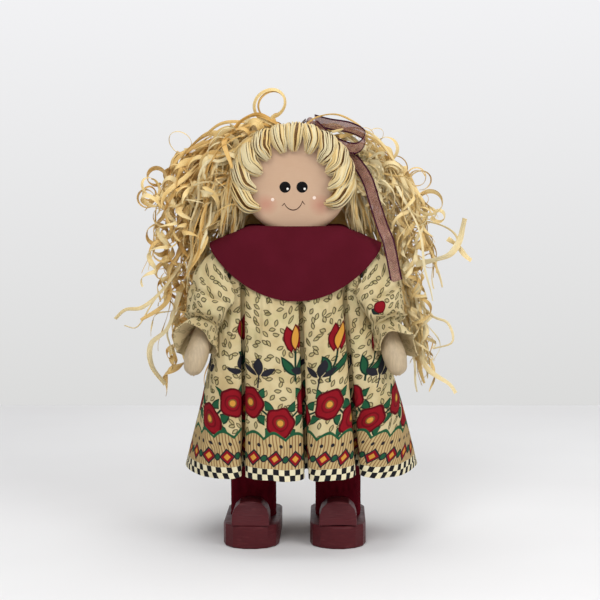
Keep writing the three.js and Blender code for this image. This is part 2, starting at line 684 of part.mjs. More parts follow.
function bang(degrees) {
  const out = at(Math.cos(radians(degrees)), 0, Math.sin(radians(degrees)));
  const round = at(-out.z, 0, out.x);
  const back = at(0, 1, 0);
  const rise = GLUE_GAP + BANG_HALF;
  const rim = HEAD_RADIUS - HEAD_EDGE;
  const turnY = HEAD_FRONT + HEAD_EDGE;
  const tip = mix(BANG_TIP_SIDE, BANG_TIP_TOP, Math.max(0, out.z) ** 2);
  const halfPitch = Math.tan(radians(BANG_PITCH / 2));
  const rings = [];
  const ring = (radius, y, lean, width, thickness) => {
    const middle = at(0, 0, HEAD_Z).addScaledVector(out, radius).addScaledVector(back, y);
    const half = round.clone().multiplyScalar((radius * halfPitch - GLUE_GAP) * width);
    const up = out.clone().multiplyScalar(Math.cos(radians(lean)));
    up.addScaledVector(back, -Math.sin(radians(lean))).multiplyScalar(BANG_HALF * thickness);
    rings.push(ellipse(middle, half, up, 9));
  };
  ring(HEAD_RADIUS + rise, BANG_BACK, 0, 0.7, 0.75);
  ring(HEAD_RADIUS + rise, mix(BANG_BACK, turnY, 0.6), 0, 0.97, 1);
  for (const lean of [15, 45, 75]) {
    const reach = HEAD_EDGE + rise;
    const radius = rim + reach * Math.cos(radians(lean));
    ring(radius, turnY - reach * Math.sin(radians(lean)), lean, 1, 1);
  }
  ring(mix(rim, tip, 0.6), HEAD_FRONT - rise, 90, 0.85, 0.95);
  ring(tip, HEAD_FRONT - GLUE_GAP - BANG_HALF * 0.6, 90, 0.3, 0.5);
  return loft(rings);
}

// A place in the loose hair: sideways from the middle of the head, backwards from its back, and up.
function hairPlace(x, y, z) {
  return at(x * HAIR_GROWTH, HEAD_BACK + y * HAIR_GROWTH, HEAD_Z + z * HAIR_GROWTH);
}

// The raffia behind the head: half width, front and back at each height above the head's middle
const BACK_HAIR = [
  { height: 40, halfWidth: 14, front: 4, back: 15 },
  { height: 33, halfWidth: 30, front: 1, back: 22 },
  { height: 20, halfWidth: 42, front: 0.4, back: 27 },
  { height: 0, halfWidth: 50, front: 0.4, back: 30 },
  { height: -20, halfWidth: 54, front: 2, back: 33 },
  { height: -36, halfWidth: 56, front: 10, back: 37 },
  { height: -50, halfWidth: 57, front: 23, back: 41 },
  { height: -74, halfWidth: 57, front: 27, back: 44 },
  { height: -99, halfWidth: 51, front: 27.5, back: 45 },
  { height: -122, halfWidth: 40, front: 29, back: 45 },
  { height: -140, halfWidth: 22, front: 34, back: 44 },
];

function backHair() {
  const rings = BACK_HAIR.map(({ height, halfWidth, front, back }) => {
    const middle = hairPlace(0, (front + back) / 2, height);
    const side = at(halfWidth * HAIR_GROWTH, 0, 0);
    return ellipse(middle, side, at(0, ((back - front) / 2) * HAIR_GROWTH, 0), 18);
  });
  return loft(rings);
}

// Where a lock grows from the side of the back hair, at a height above the head's middle. It
// stands off the slope of the hair by as much as the end of the lock needs.
function lockRoot(height, radius) {
  const below = BACK_HAIR.findIndex((section) => section.height <= height);
  const [upper, lower] = [BACK_HAIR[below - 1], BACK_HAIR[below]];
  const share = (upper.height - height) / (upper.height - lower.height);
  const y = mix(upper.front + upper.back, lower.front + lower.back, share) / 2;
  const slope = Math.abs(lower.halfWidth - upper.halfWidth) / (upper.height - lower.height);
  const x = mix(upper.halfWidth, lower.halfWidth, share) + 0.95 * slope * radius;
  return hairPlace(x, y, height).add(at(GLUE_GAP, 0, 0));
}

// Curled side locks: where each grows, the places that it passes, its thickness and its curl.
const LOCKS = [
  { name: "crown", height: 31, thick: 9, turns: 2.5, curl: 5, via: [
    [60, 17, 35], [79, 17, 27], [98, 15, 9], [112, 11, -20], [122, 7, -53], [129, 4, -83],
  ] },
  { name: "temple", height: 15, thick: 10, turns: 2.5, curl: 5, via: [
    [66, 10, 14], [83, 2, 4], [98, -7, -17], [106, -14, -46], [110, -17, -77], [115, -17, -107],
  ] },
  { name: "ear", height: -6, thick: 10, turns: 2.5, curl: 4, via: [
    [73, 14, -8], [85, 9, -21], [93, 7, -42], [101, 8, -70], [112, 9, -98], [138, 7, -118],
  ] },
  { name: "shoulder", height: -30, thick: 11, turns: 3, curl: 4, via: [
    [78, 27, -41], [88, 33, -62], [94, 36, -93], [97, 36, -124], [100, 34, -156],
  ] },
  { name: "nape", height: -62, thick: 9, turns: 3, curl: 3.5, via: [
    [71, 38, -78], [68, 41, -102], [66, 42, -130], [68, 41, -160], [71, 39, -188],
  ] },
];

function lock({ height, thick, turns, curl, via }) {
  const root = lockRoot(height, thick * LOCK_ROOT);
  const places = via.map((place) => hairPlace(...place));
  const stub = root.clone().add(at(thick * HAIR_GROWTH, 0, 0));
  const spine = new THREE.CatmullRomCurve3([root, stub, ...places]);
  const frames = spine.computeFrenetFrames(LOCK_STEPS, false);
  const curled = frames.normals.map((normal, k) => {
    const share = k / LOCK_STEPS;
    const turn = share * turns * 2 * Math.PI;
    const swing = HAIR_GROWTH * curl * clamp01((share - 0.1) * 2.5);
    return spine
      .getPointAt(share)
      .addScaledVector(normal, swing * Math.sin(turn))
      .addScaledVector(frames.binormals[k], swing * (1 - Math.cos(turn)) * 0.5);
  });
  const fullest = thick * HAIR_GROWTH;
  const radiusAt = (share) => fullest * mix(1, 0.4, share ** 1.8) * mix(LOCK_ROOT, 1, clamp01(share * 5));
  return sweep(new THREE.CatmullRomCurve3(curled), radiusAt, LOCK_SIDES, LOCK_STEPS);
}

// One strand of raffia that stands up from the crown in a loop, on one of the looped hanks.
function crownLoop() {
  const hank = radians(BANG_LOWEST + (CROWN_LOOP_BANG - 1) * BANG_PITCH);
  const seat = at(HAIR_RADIUS * Math.cos(hank), 0, HEAD_Z + HAIR_RADIUS * Math.sin(hank));
  const lift = GLUE_GAP + CROWN_LOOP_STRAND;
  const middle = seat.clone().add(at(-1, 0, lift + CROWN_LOOP_RADIUS));
  const points = Array.from({ length: 12 }, (_, step) => {
    const turn = radians(-80 + step * 28);
    const radius = CROWN_LOOP_RADIUS * (1 + 0.012 * step);
    return middle.clone().add(at(Math.cos(turn) * radius, step * 0.5 - 3, Math.sin(turn) * radius));
  });
  return sweep(new THREE.CatmullRomCurve3(points), () => CROWN_LOOP_STRAND, 5, 24);
}

// Ribbon bow behind the looped hair

const KNOT = at(RIBBON_KNOT_X, BANG_BACK + RIBBON_KNOT_RADIUS + 2 * GLUE_GAP, 0);
KNOT.z = HEAD_Z + Math.sqrt(HAIR_RADIUS ** 2 - KNOT.x ** 2) - 1;
const ACROSS_BOW = at(0, -0.6, 0.8);

function ribbonKnot() {
  const knot = new THREE.SphereGeometry(RIBBON_KNOT_RADIUS, 10, 8);
  return knot.scale(0.9, 1, 1.2).translate(...KNOT);
}

// A loop of the bow, out from the knot and back to it. reach is along X, drop and depth are at its
// far end, and under is the share of that depth at which its lower half comes back.
function ribbonLoop(reach, drop, depth, under) {
  const sign = Math.sign(reach);
  const start = sign * (RIBBON_KNOT_RADIUS + GLUE_GAP);
  const path = [
    [start, 0, 1.6],
    [reach * 0.35, depth * 0.4, 4],
    [reach * 0.75, depth * 0.8, 1 + drop * 0.35],
    [reach, depth, drop * 0.7],
    [reach * 0.85, depth * under * 1.1, drop * 1.25],
    [reach * 0.5, depth * under, drop * 0.95 - 1],
    [start * 1.4, depth * 0.3, -3.2],
  ].map(([x, y, z]) => KNOT.clone().add(at(x, y, z)));
  return band(new THREE.CatmullRomCurve3(path), () => ACROSS_BOW, 20);
}

function ribbonTailFront() {
  const besideHead = [
    [28, 0, 32],
    [39, -0.5, 25],
    [50, -2.5, 15],
    [59, -10, 1],
    [65, -20, -18],
    [71, -29, -37],
  ].map((place) => hairPlace(...place));
  const sleeveX = SHOULDER_X + RIBBON_WIDTH;
  const path = [
    KNOT.clone().add(at(6, 2.5, -10)),
    ...besideHead,
    at(sleeveX + 3.4, -25, COLLAR_SIDE_Z),
    at(sleeveX + 9.4, -28.5, SHOULDER_Z - 8),
  ];
  const across = (share) => at(0.8, mix(-0.4, -0.1, share), mix(0.5, 0.25, share));
  return band(new THREE.CatmullRomCurve3(path), across, 18);
}

function ribbonTailBack() {
  const behind = BACK_HAIR.slice(2, 7).map(({ height, back }, k) => {
    return hairPlace(0, back, height).add(at(RIBBON_KNOT_X + 4 + 1.5 * k, 2 * GLUE_GAP, 0));
  });
  const path = [
    at(KNOT.x + 2, KNOT.y + 6, KNOT.z + 0.5),
    at(KNOT.x + 3, KNOT.y + 18, KNOT.z - 3),
    ...behind,
  ];
  return band(new THREE.CatmullRomCurve3(path), () => at(1, 0, 0), 16);
}

// Assembly

add(doll, "torso_block", torso(), PINE);
add(doll, "neck_dowel", neckDowel(), PINE);
add(doll, "head", head(), FACE_PAINT);

for (const [side, sign] of Object.entries(SIDES)) {
  const standing = new THREE.Group();
  standing.position.x = (sign * LEG_SPACING) / 2;
  doll.add(standing);
  add(standing, `leg_${side}`, leg(), PINE);
  add(standing, `stocking_${side}`, stocking(), VELVET);
  add(standing, `hip_dowel_${side}`, hipDowel(), PINE);
  const shoe = new THREE.Group();
  shoe.rotation.z = sign * radians(SHOE_TURN[side]);
  standing.add(shoe);
  const parts = new THREE.Group();
  parts.position.y = -SOLE_SETBACK;
  shoe.add(parts);
  add(parts, `sole_${side}`, sole(), SHOE_PAINT);
  add(parts, `toe_block_${side}`, toeBlock(), SHOE_PAINT);
  add(parts, `shoe_screw_${side}`, shoeScrew(), STEEL);

  const shoulder = new THREE.Group();
  shoulder.position.set(sign * SHOULDER_X, -SHOULDER_FORWARD, SHOULDER_Z);
  shoulder.scale.x = sign;
  doll.add(shoulder);
  add(shoulder, `shoulder_screw_${side}`, shoulderScrew(), STEEL);
  add(shoulder, `shoulder_washer_${side}`, washer(), STEEL);
  const swing = new THREE.Group();
  swing.rotation.x = -radians(ARM_LEAN);
  shoulder.add(swing);
  add(swing, `arm_${side}`, arm(), PINE);
  add(swing, `hand_${side}`, hand(), HAND_PAINT);
  add(swing, `sleeve_${side}`, sleeve(), PRINT);
}

add(doll, "dress_front", dressPanel(-1, FRONT_FOLDS), PRINT);
add(doll, "dress_back", dressPanel(1, BACK_FOLDS), PRINT);
add(doll, "collar", collar(), BURGUNDY);

for (let i = 0; i < BANG_COUNT; i++) {
  add(doll, `bang_${i + 1}`, bang(BANG_LOWEST + i * BANG_PITCH), RAFFIA);
}
add(doll, "hair_back", backHair(), RAFFIA);
for (const [side, sign] of Object.entries(SIDES)) {
  for (const shape of LOCKS) {
    const geometry = lock(shape);
    const mesh = add(doll, `lock_${shape.name}_${side}`, geometry, RAFFIA);
    mesh.scale.x = sign;
  }
}
add(doll, "crown_loop", crownLoop(), RAFFIA);

add(doll, "ribbon_knot", ribbonKnot(), ORGANZA);
add(doll, "ribbon_loop_right", ribbonLoop(RIBBON_LOOP_LENGTH, -12, 1, 1), ORGANZA);
add(doll, "ribbon_loop_left", ribbonLoop(-0.75 * RIBBON_LOOP_LENGTH, -5, 11, 0.2), ORGANZA);
add(doll, "ribbon_tail_front", ribbonTailFront(), ORGANZA);
add(doll, "ribbon_tail_back", ribbonTailBack(), ORGANZA);

export default doll;
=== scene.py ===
"""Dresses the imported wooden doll: painted wood, print cotton, velvet, organza and raffia.

Lengths are in millimetres and in the part's own frame: +Z is up and the doll faces -Y.
"""
import json
import math

import bmesh
import bpy
import numpy as np
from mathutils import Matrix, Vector

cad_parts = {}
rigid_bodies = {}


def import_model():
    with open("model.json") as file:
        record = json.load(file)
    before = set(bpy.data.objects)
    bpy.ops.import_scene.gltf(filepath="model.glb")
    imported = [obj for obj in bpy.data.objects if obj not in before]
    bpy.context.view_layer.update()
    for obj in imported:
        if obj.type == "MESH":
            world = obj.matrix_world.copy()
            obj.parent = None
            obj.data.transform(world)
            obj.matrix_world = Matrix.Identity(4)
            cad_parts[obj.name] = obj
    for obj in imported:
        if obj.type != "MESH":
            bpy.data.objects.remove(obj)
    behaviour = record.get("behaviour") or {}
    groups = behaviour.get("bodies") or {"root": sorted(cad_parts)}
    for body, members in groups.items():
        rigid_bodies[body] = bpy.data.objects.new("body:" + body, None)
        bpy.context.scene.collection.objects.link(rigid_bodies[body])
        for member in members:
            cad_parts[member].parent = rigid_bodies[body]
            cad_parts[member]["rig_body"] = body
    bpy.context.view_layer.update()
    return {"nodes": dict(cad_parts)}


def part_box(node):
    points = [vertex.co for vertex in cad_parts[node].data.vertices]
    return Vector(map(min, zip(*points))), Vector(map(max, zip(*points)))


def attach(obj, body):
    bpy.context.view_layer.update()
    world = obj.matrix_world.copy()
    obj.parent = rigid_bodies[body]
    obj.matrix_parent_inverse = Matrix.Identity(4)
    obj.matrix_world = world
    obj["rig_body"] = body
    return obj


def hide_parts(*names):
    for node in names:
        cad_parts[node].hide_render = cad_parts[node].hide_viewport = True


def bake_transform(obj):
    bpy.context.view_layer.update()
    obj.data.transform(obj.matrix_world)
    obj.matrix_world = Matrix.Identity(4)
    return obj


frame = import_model()

MM = 0.001
SIDES = {"left": -1, "right": 1}
DOLL = "doll"
ARM = {"left": "arm_left", "right": "arm_right"}


def span(node):
    """Lowest and highest corner of a CAD node, in millimetres."""
    return tuple(np.array(corner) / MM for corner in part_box(node))


# Places that the frame gives
HEAD_LOW, HEAD_HIGH = span("head")
HEAD_RADIUS = HEAD_HIGH[0]
HEAD_Z = HEAD_HIGH[2] - HEAD_RADIUS
HEAD_FRONT = HEAD_LOW[1]
HEAD_BACK = HEAD_HIGH[1]
CHIN_Z = HEAD_LOW[2]
TORSO_TOP = span("torso_block")[1][2]
LEG_X = (span("leg_right")[0][0] + span("leg_right")[1][0]) / 2
SOLE_TOP = span("sole_left")[1][2]
STOCKING_LOW, STOCKING_HIGH = span("stocking_right")
TOE_TOP = span("toe_block_left")[1][2]
YOKE_Z = span("dress_front")[1][2]
HEM_Z = span("dress_front")[0][2]

# Shoes
SOLE_LENGTH = 88
SOLE_WIDTH = 46
SOLE_SETBACK = 1
SOLE_ROUND = 1.4
SOLE_TOE_ROUND = 0.42
SOLE_HEEL_ROUND = 0.3
SAW_MARKS = 0.22
TOE_WIDTH = 31
TOE_SLOPE = 0.28
TOE_FRONT_MARGIN = 2
TOE_GAP = 0.3
TOE_LIFT = 0.1
SHOE_TURN = {"left": 2, "right": -1}
STOCKING_CLOTH = 1.0
STOCKING_WRINKLE = 0.35
STOCKING_WRINKLE_FADE = 9
STOCKING_SAG = 0.25

# Arms and sleeves, down the arm from the shoulder screw
SHOULDER_X = 62.6
SHOULDER_Y = -2
SHOULDER_DROP = 29
SHOULDER_Z = TORSO_TOP - SHOULDER_DROP
ARM_SPREAD = 14
ARM_STRAIGHT = 5
ARM_LEAN = 26
WRIST_REACH = 50
HAND_LENGTH = 44
HAND_RADIUS = 10.5
HAND_NECK = 7.4
HAND_TIP = 0.02
HAND_FLATNESS = 0.85
HAND_SLIMNESS = 0.9
ARMHOLE_X = -5.7
ARMHOLE_RADIUS = 18
PUFF_WIDTH = 28
PUFF_DEPTH = 42
PUFF_OUTSET = 5
PUFF_LENGTH = 46
PUFF_FULL = (13, 6)
GATHER_HALF = 1.5
WRIST_WIDTH = 18
WRIST_DEPTH = 18.5
RUFFLE_LENGTH = 24
RUFFLE_WIDTH = 34
RUFFLE_DEPTH = 36
RUFFLE_OUTSET = 2.5
CUFF_RAISED = {"left": 17, "right": 10}
CUFF_FORWARD = 5
PUFF_OVERHANG = 6
LOBE_INWARD = 17
LOBE_FORWARD = 3.5
SLEEVE_SEWN = -2
SLEEVE_FREE = 34
SLEEVE_CLOTH = 0.8

# Dress
YOKE_HALF_WIDTH = 45
YOKE_HALF_DEPTH = 20.5
ARMPIT_GAP = 0.9
ARMPIT_Z = SHOULDER_Z - ARMHOLE_RADIUS - ARMPIT_GAP
ARMPIT_HALF_WIDTH = 56.4
ARMPIT_HALF_DEPTH = 29
HEM_HALF_WIDTH = 97
HEM_HALF_DEPTH = 64
YOKE_BOXINESS = 16
ARMPIT_BOXINESS = 5
HEM_BOXINESS = 2.2
SKIRT_BELL = 0.88
SKIRT_DEPTH_BELL = 1.1
FRONT_FOLDS = [(-43, -42), (4, 9), (40, 50)]
BACK_FOLDS = [(-40, -62), (-13, -20), (14, 24), (41, 64)]
FOLD_WIDTH = 6
FOLD_NARROWING = (0.75, 0.72)
FOLD_DEPTH = 28
FOLD_PINCH = 3.4
FLUTE = 8
FOLD_LIFT = 3.5
FOLD_CRUMPLE = 1.5
YOKE_FOLD_DEPTH = 8.5
GATHER_SIZE = 0.7
SKIRT_DRIFT = (1.6, 0.8)
HEM_WAVE = 0.8
SEAM_WIDTH = 0.3
PANEL_GAP = 0.15
SKIRT_LEAN = 5
DRESS_CLOTH = 0.9
DRESS_FINENESS = 1801
YOKE_SHARE = 0.19

# Collar
NECK_HALF_WIDTH = 34
NECK_HALF_DEPTH = 16
COLLAR_STAND = 8
COLLAR_ROLL_Z = TORSO_TOP + COLLAR_STAND
COLLAR_HALF_WIDTH = 71
COLLAR_HALF_DEPTH = 35
COLLAR_FRONT_DROP = 61
COLLAR_CORNER = 0.35
COLLAR_SIDE_Z = SHOULDER_Z + ARMHOLE_RADIUS + 3.5
COLLAR_SIDE_DROP = COLLAR_ROLL_Z - COLLAR_SIDE_Z
COLLAR_SLACK = (0.9, 0.5)
COLLAR_CLOTH = 1

# Raffia
BANG_COUNT = 11
BANG_LOWEST = -20
BANG_PITCH = (180 - 2 * BANG_LOWEST) / (BANG_COUNT - 1)
BANG_ROOT_SPREAD = 0.74
BANG_TIP_SPREAD = 1.14
BANG_TIP_SIDE = {-1: 31, 1: 26}
BANG_TIP_TOP = 26.5
BANG_STRAIGHT = 0.3
BANG_WRAP = 112
BANG_PALER = 0.14
BANG_TOP_SINK = 3.5
BANG_SIDE_BULGE = {-1: 6, 1: 0}
BANG_TIP_LOW = 5
HAIR_BACK = 64
HAIR_REACH = 152
STRIP_THICKNESS = 0.4
STRIP_CUP = 0.1

# Ribbon
RIBBON_WIDTH = 10
RIBBON_EDGE = 1.25
RIBBON_CLOTH = 0.4
RIBBON_POINTS = 70
RIBBON_RIPPLES = 14
KNOT = np.array([12, 9, HEAD_Z + 48])


# Small sums

def mix(first, second, share):
    return first + (second - first) * share


def clamp01(value):
    return np.clip(value, 0.0, 1.0)


def smoothstep(value):
    value = clamp01(value)
    return value * value * (3 - 2 * value)


def unit(vectors):
    return vectors / np.maximum(np.linalg.norm(vectors, axis=-1, keepdims=True), 1e-9)


def turned(points, axis, degrees):
    """Points turned about X, Y or Z."""
    first, second = [(1, 2), (2, 0), (0, 1)]["XYZ".index(axis)]
    cos, sin = math.cos(math.radians(degrees)), math.sin(math.radians(degrees))
    made = np.array(points, float)
    a, b = made[..., first].copy(), made[..., second].copy()
    made[..., first] = a * cos - b * sin
    made[..., second] = a * sin + b * cos
    return made


def mirrored(points, sign):
    """Points for the right side, or their mirror image for the left."""
    return np.asarray(points, float) * [sign, 1, 1]


def round_turn(count):
    """Even steps of one turn, in radians."""
    return np.linspace(0, 2 * np.pi, count, endpoint=False)


def bell(value, middle, width):
    """1 at the middle, and nothing a few widths away."""
    return np.exp(-((value - middle) / width) ** 2)


def run_along(line):
    """Length along a line of points, from its start."""
    return np.r_[0, np.cumsum(np.linalg.norm(np.diff(line, axis=0), axis=1))]


def resampled(line, count):
    """Evenly spaced points along a line of points."""
    run = run_along(line)
    places = np.linspace(0, run[-1], count)
    return np.column_stack([np.interp(places, run, axis) for axis in line.T])


SPLINE_STEPS = 16


def spline(places, count):
    """Evenly spaced points on a smooth curve through the places."""
    places = np.array(places, float)
    ends = np.vstack([2 * places[0] - places[1], places, 2 * places[-1] - places[-2]])
    t = np.linspace(0, 1, SPLINE_STEPS, endpoint=False)[:, None]
    fine = []
    for a, b, c, d in zip(ends, ends[1:], ends[2:], ends[3:]):
        slope, bend, twist = c - a, 2 * a - 5 * b + 4 * c - d, 3 * b - a - 3 * c + d
        fine.append(0.5 * (2 * b + slope * t + bend * t**2 + twist * t**3))
    return resampled(np.vstack([*fine, places[-1:]]), count)


def carried(centres, first):
    """Tangents of a line, and a direction carried along it without twisting, square to it."""
    tangents = unit(np.gradient(centres, axis=0))
    direction = np.array(first, float) + 1e-3
    normals = []
    for tangent in tangents:
        direction = unit(direction - tangent * direction.dot(tangent))
        normals.append(direction)
    return tangents, np.array(normals)


# Materials

def srgb(red, green, blue):
    """A colour as it looks on a screen, 0 to 255, as the linear colour that shaders take."""
    parts = [part / 255 for part in (red, green, blue)]
    linear = [part / 12.92 if part < 0.04045 else ((part + 0.055) / 1.055) ** 2.4 for part in parts]
    return (*linear, 1)


class Wire:
    """A number in a material's nodes, so that a pattern can be written as a sum."""

    def __init__(self, tree, socket):
        self.tree = tree
        self.socket = socket

    def math(self, operation, *others):
        node = self.tree.nodes.new("ShaderNodeMath")
        node.operation = operation
        for entry, item in zip(node.inputs, (self, *others)):
            if isinstance(item, Wire):
                self.tree.links.new(item.socket, entry)
            else:
                entry.default_value = item
        return Wire(self.tree, node.outputs[0])

    def __add__(self, other):
        return self.math("ADD", other)

    __radd__ = __add__

    def __sub__(self, other):
        return self.math("SUBTRACT", other)

    def __rsub__(self, other):
        return self.math("MULTIPLY_ADD", -1, other)

    def __mul__(self, other):
        return self.math("MULTIPLY", other)

    __rmul__ = __mul__

    def wrap(self, period, middle=0):
        """The distance from the nearest of a row of places, a period apart."""
        return (self - middle).math("WRAP", period / 2, -period / 2)

    def size(self):
        return self.math("ABSOLUTE")

    def cell(self, size):
        return self.math("DIVIDE", size).math("FLOOR")

    def ramp(self, zero, one):
        """0 at the first value and 1 at the second, held level outside them."""
        node = self.tree.nodes.new("ShaderNodeMapRange")
        self.tree.links.new(self.socket, node.inputs["Value"])
        node.inputs["From Min"].default_value = zero
        node.inputs["From Max"].default_value = one
        return Wire(self.tree, node.outputs["Result"])


def length_of(x, y):
    return (x * x + y * y).math("SQRT")


class Finish:
    """A procedural material that is built up in layers of colour."""

    def __init__(self, name, base, roughness, **constants):
        self.material = bpy.data.materials.new(name)
        self.material.use_nodes = True
        self.tree = self.material.node_tree
        self.shader = self.tree.nodes["Principled BSDF"]
        self.shader.inputs["Roughness"].default_value = roughness
        for entry, value in constants.items():
            label = entry.replace("_", " ").title().replace("Ior", "IOR")
            self.shader.inputs[label].default_value = value
        self.colour = base

    def attribute(self, name):
        """The three numbers of a named value on the mesh."""
        node = self.tree.nodes.new("ShaderNodeAttribute")
        node.attribute_name = name
        return self.parts(node.outputs["Vector"])

    def parts(self, socket):
        node = self.tree.nodes.new("ShaderNodeSeparateXYZ")
        self.tree.links.new(socket, node.inputs[0])
        return [Wire(self.tree, output) for output in node.outputs]

    def vector(self, *wires):
        node = self.tree.nodes.new("ShaderNodeCombineXYZ")
        for entry, wire in zip(node.inputs, wires):
            self.tree.links.new(wire.socket, entry)
        return node.outputs[0]

    def place(self):
        """The point on the piece itself, in millimetres."""
        node = self.tree.nodes.new("ShaderNodeTexCoord")
        return [part * (1 / MM) for part in self.parts(node.outputs["Object"])]

    def noise(self, wires, scale=1.0, detail=2.0):
        node = self.tree.nodes.new("ShaderNodeTexNoise")
        node.inputs["Scale"].default_value = scale
        node.inputs["Detail"].default_value = detail
        self.tree.links.new(self.vector(*wires), node.inputs["Vector"])
        return Wire(self.tree, node.outputs["Fac"])

    def dice(self, wires):
        """Three random numbers for a place."""
        node = self.tree.nodes.new("ShaderNodeTexWhiteNoise")
        self.tree.links.new(self.vector(*wires), node.inputs["Vector"])
        return self.parts(node.outputs["Color"])

    def paint(self, mask, colour):
        """Lays a colour over what is there, where the mask is 1."""
        node = self.tree.nodes.new("ShaderNodeMix")
        node.data_type = "RGBA"
        self.tree.links.new(mask.socket, node.inputs[0])
        for entry, layer in ((node.inputs[6], self.colour), (node.inputs[7], colour)):
            if isinstance(layer, tuple):
                entry.default_value = layer
            else:
                self.tree.links.new(layer, entry)
        self.colour = node.outputs[2]

    def rough(self, wire):
        self.tree.links.new(wire.socket, self.shader.inputs["Roughness"])

    def bump(self, height, depth, strength=1.0):
        node = self.tree.nodes.new("ShaderNodeBump")
        node.inputs["Distance"].default_value = depth * MM
        node.inputs["Strength"].default_value = strength
        self.tree.links.new(height.socket, node.inputs["Height"])
        self.tree.links.new(node.outputs[0], self.shader.inputs["Normal"])

    def done(self):
        entry = self.shader.inputs["Base Color"]
        if isinstance(self.colour, tuple):
            entry.default_value = self.colour
        else:
            self.tree.links.new(self.colour, entry)
        return self.material


def pine():
    made = Finish("pine", srgb(206, 172, 118), 0.6)
    x, y, z = made.place()
    rings = made.noise([x * 0.9, y * 0.9, z * 0.04], detail=3)
    made.paint(rings.ramp(0.45, 0.62), srgb(178, 136, 82))
    fine = made.noise([x * 6, y * 6, z * 0.3])
    made.paint(fine.ramp(0.6, 0.75) * 0.35, srgb(146, 104, 60))
    made.bump(fine, 0.15)
    return made.done()


def steel():
    made = Finish("zinc_steel", srgb(178, 178, 174), 0.32, metallic=1.0)
    x, y, z = made.place()
    grain = made.noise([x, y, z], scale=2.2, detail=4)
    made.paint(grain.ramp(0.4, 0.7) * 0.4, srgb(140, 140, 136))
    made.rough(grain.ramp(0.3, 0.7) * 0.25 + 0.22)
    return made.done()


# Where the face's colours lie, sideways and upwards from the middle of the head
BLUSH = [(-24, -19), (20.5, -19.5)]
BLUSH_RADIUS = 12


def face_paint():
    made = Finish("face_paint", srgb(198, 166, 139), 0.55, specular_ior_level=0.25)
    x, y, z = made.place()
    cloud = made.noise([x, y, z], scale=0.05, detail=3)
    made.paint(cloud.ramp(0.35, 0.7) * 0.5, srgb(192, 157, 128))
    brush = made.noise([x * 0.12, y, z * 1.4], detail=3)
    made.paint(brush.ramp(0.5, 0.8) * 0.25, srgb(206, 177, 150))
    for across, up in BLUSH:
        far = length_of(x - across, (z - (HEAD_Z + up)) * 1.1)
        soft = (far + made.noise([x, y, z], scale=0.2) * 3).ramp(BLUSH_RADIUS, 3)
        made.paint(soft * 0.42, srgb(190, 104, 88))
    made.rough(brush.ramp(0.2, 0.8) * 0.12 + 0.42)
    made.bump(brush, 0.06, 0.6)
    return made.done()


def plain_paint(name, colour, roughness):
    """A small spot of brushed paint."""
    made = Finish(name, colour, roughness, specular_ior_level=0.08)
    x, y, z = made.place()
    streak = made.noise([x, y, z], scale=0.8, detail=3)
    made.paint(streak.ramp(0.5, 0.8) * 0.04, srgb(120, 96, 84))
    made.bump(streak, 0.05)
    return made.done()


def hand_paint():
    made = Finish("hand_paint", srgb(174, 155, 126), 0.5)
    x, y, z = made.place()
    grain = made.noise([x * 0.5, y * 0.5, z * 0.07], detail=4)
    made.paint(grain.ramp(0.42, 0.68) * 0.5, srgb(202, 180, 146))
    pores = made.noise([x * 5, y * 5, z * 0.5])
    made.paint(pores.ramp(0.62, 0.75) * 0.25, srgb(176, 150, 116))
    made.rough(grain.ramp(0.3, 0.7) * 0.15 + 0.42)
    made.bump(pores, 0.08)
    return made.done()


def shoe_paint():
    made = Finish("shoe_paint", srgb(80, 27, 32), 0.5, specular_ior_level=0.14)
    x, y, z = made.place()
    strokes = made.noise([x * 0.12, y * 0.3, z * 1.1], detail=4)
    made.paint(strokes.ramp(0.45, 0.7) * 0.55, srgb(70, 25, 31))
    thin = made.noise([x * 0.1, y * 0.1, z * 0.5], detail=2)
    made.paint(thin.ramp(0.58, 0.75) * 0.45, srgb(106, 50, 52))
    made.rough(strokes.ramp(0.3, 0.7) * 0.22 + 0.32)
    made.bump(strokes, 0.25)
    return made.done()


def velvet():
    made = Finish("velvet", srgb(82, 10, 22), 0.95, specular_ior_level=0.02,
                  sheen_weight=0.55, sheen_roughness=0.3)
    made.shader.inputs["Sheen Tint"].default_value = srgb(170, 40, 60)
    x, y, z = made.place()
    nap = made.noise([x, y, z * 0.5], scale=0.22, detail=3)
    made.paint(nap.ramp(0.4, 0.7) * 0.6, srgb(54, 6, 14))
    pile = made.noise([x, y, z], scale=3.0)
    made.bump(pile, 0.3)
    return made.done()


def weave(made, u, v, pitch=0.7):
    """The relief of a plain weave with uneven threads."""
    turn = 2 * math.pi / pitch
    threads = (u * turn).math("SINE") * (v * turn).math("SINE")
    slubs = made.noise([u, v * 0.4], scale=1.4) + made.noise([u * 0.4, v], scale=1.4)
    crumple = made.noise([u, v], scale=0.05, detail=1)
    return (threads * 0.5 + slubs) * 0.14 + crumple * 2.2


def burgundy():
    made = Finish("burgundy_cotton", srgb(84, 18, 31), 0.9, specular_ior_level=0.06)
    u, v, _ = made.attribute("flat")
    slub = made.noise([u * 0.3, v * 2.2], detail=3)
    made.paint(slub.ramp(0.5, 0.75) * 0.35, srgb(80, 14, 29))
    cloud = made.noise([u, v], scale=0.03)
    made.paint(cloud.ramp(0.4, 0.7) * 0.4, srgb(100, 24, 42))
    made.bump(weave(made, u, v), 1)
    return made.done()


# The print: a mottled cream ground with scattered leaves, and a border of flowers, vine and checks

CREAM = srgb(211, 195, 152)
TAN = srgb(192, 168, 120)
SAGE = srgb(188, 178, 128)
MOSS = srgb(150, 140, 92)
OLIVE = srgb(66, 56, 36)
RED = srgb(136, 20, 31)
DEEP_RED = srgb(88, 10, 20)
GREEN = srgb(34, 84, 56)
DEEP_GREEN = srgb(22, 50, 38)
GOLD = srgb(208, 148, 62)
BROWN = srgb(122, 82, 44)
CHARCOAL = srgb(38, 37, 44)


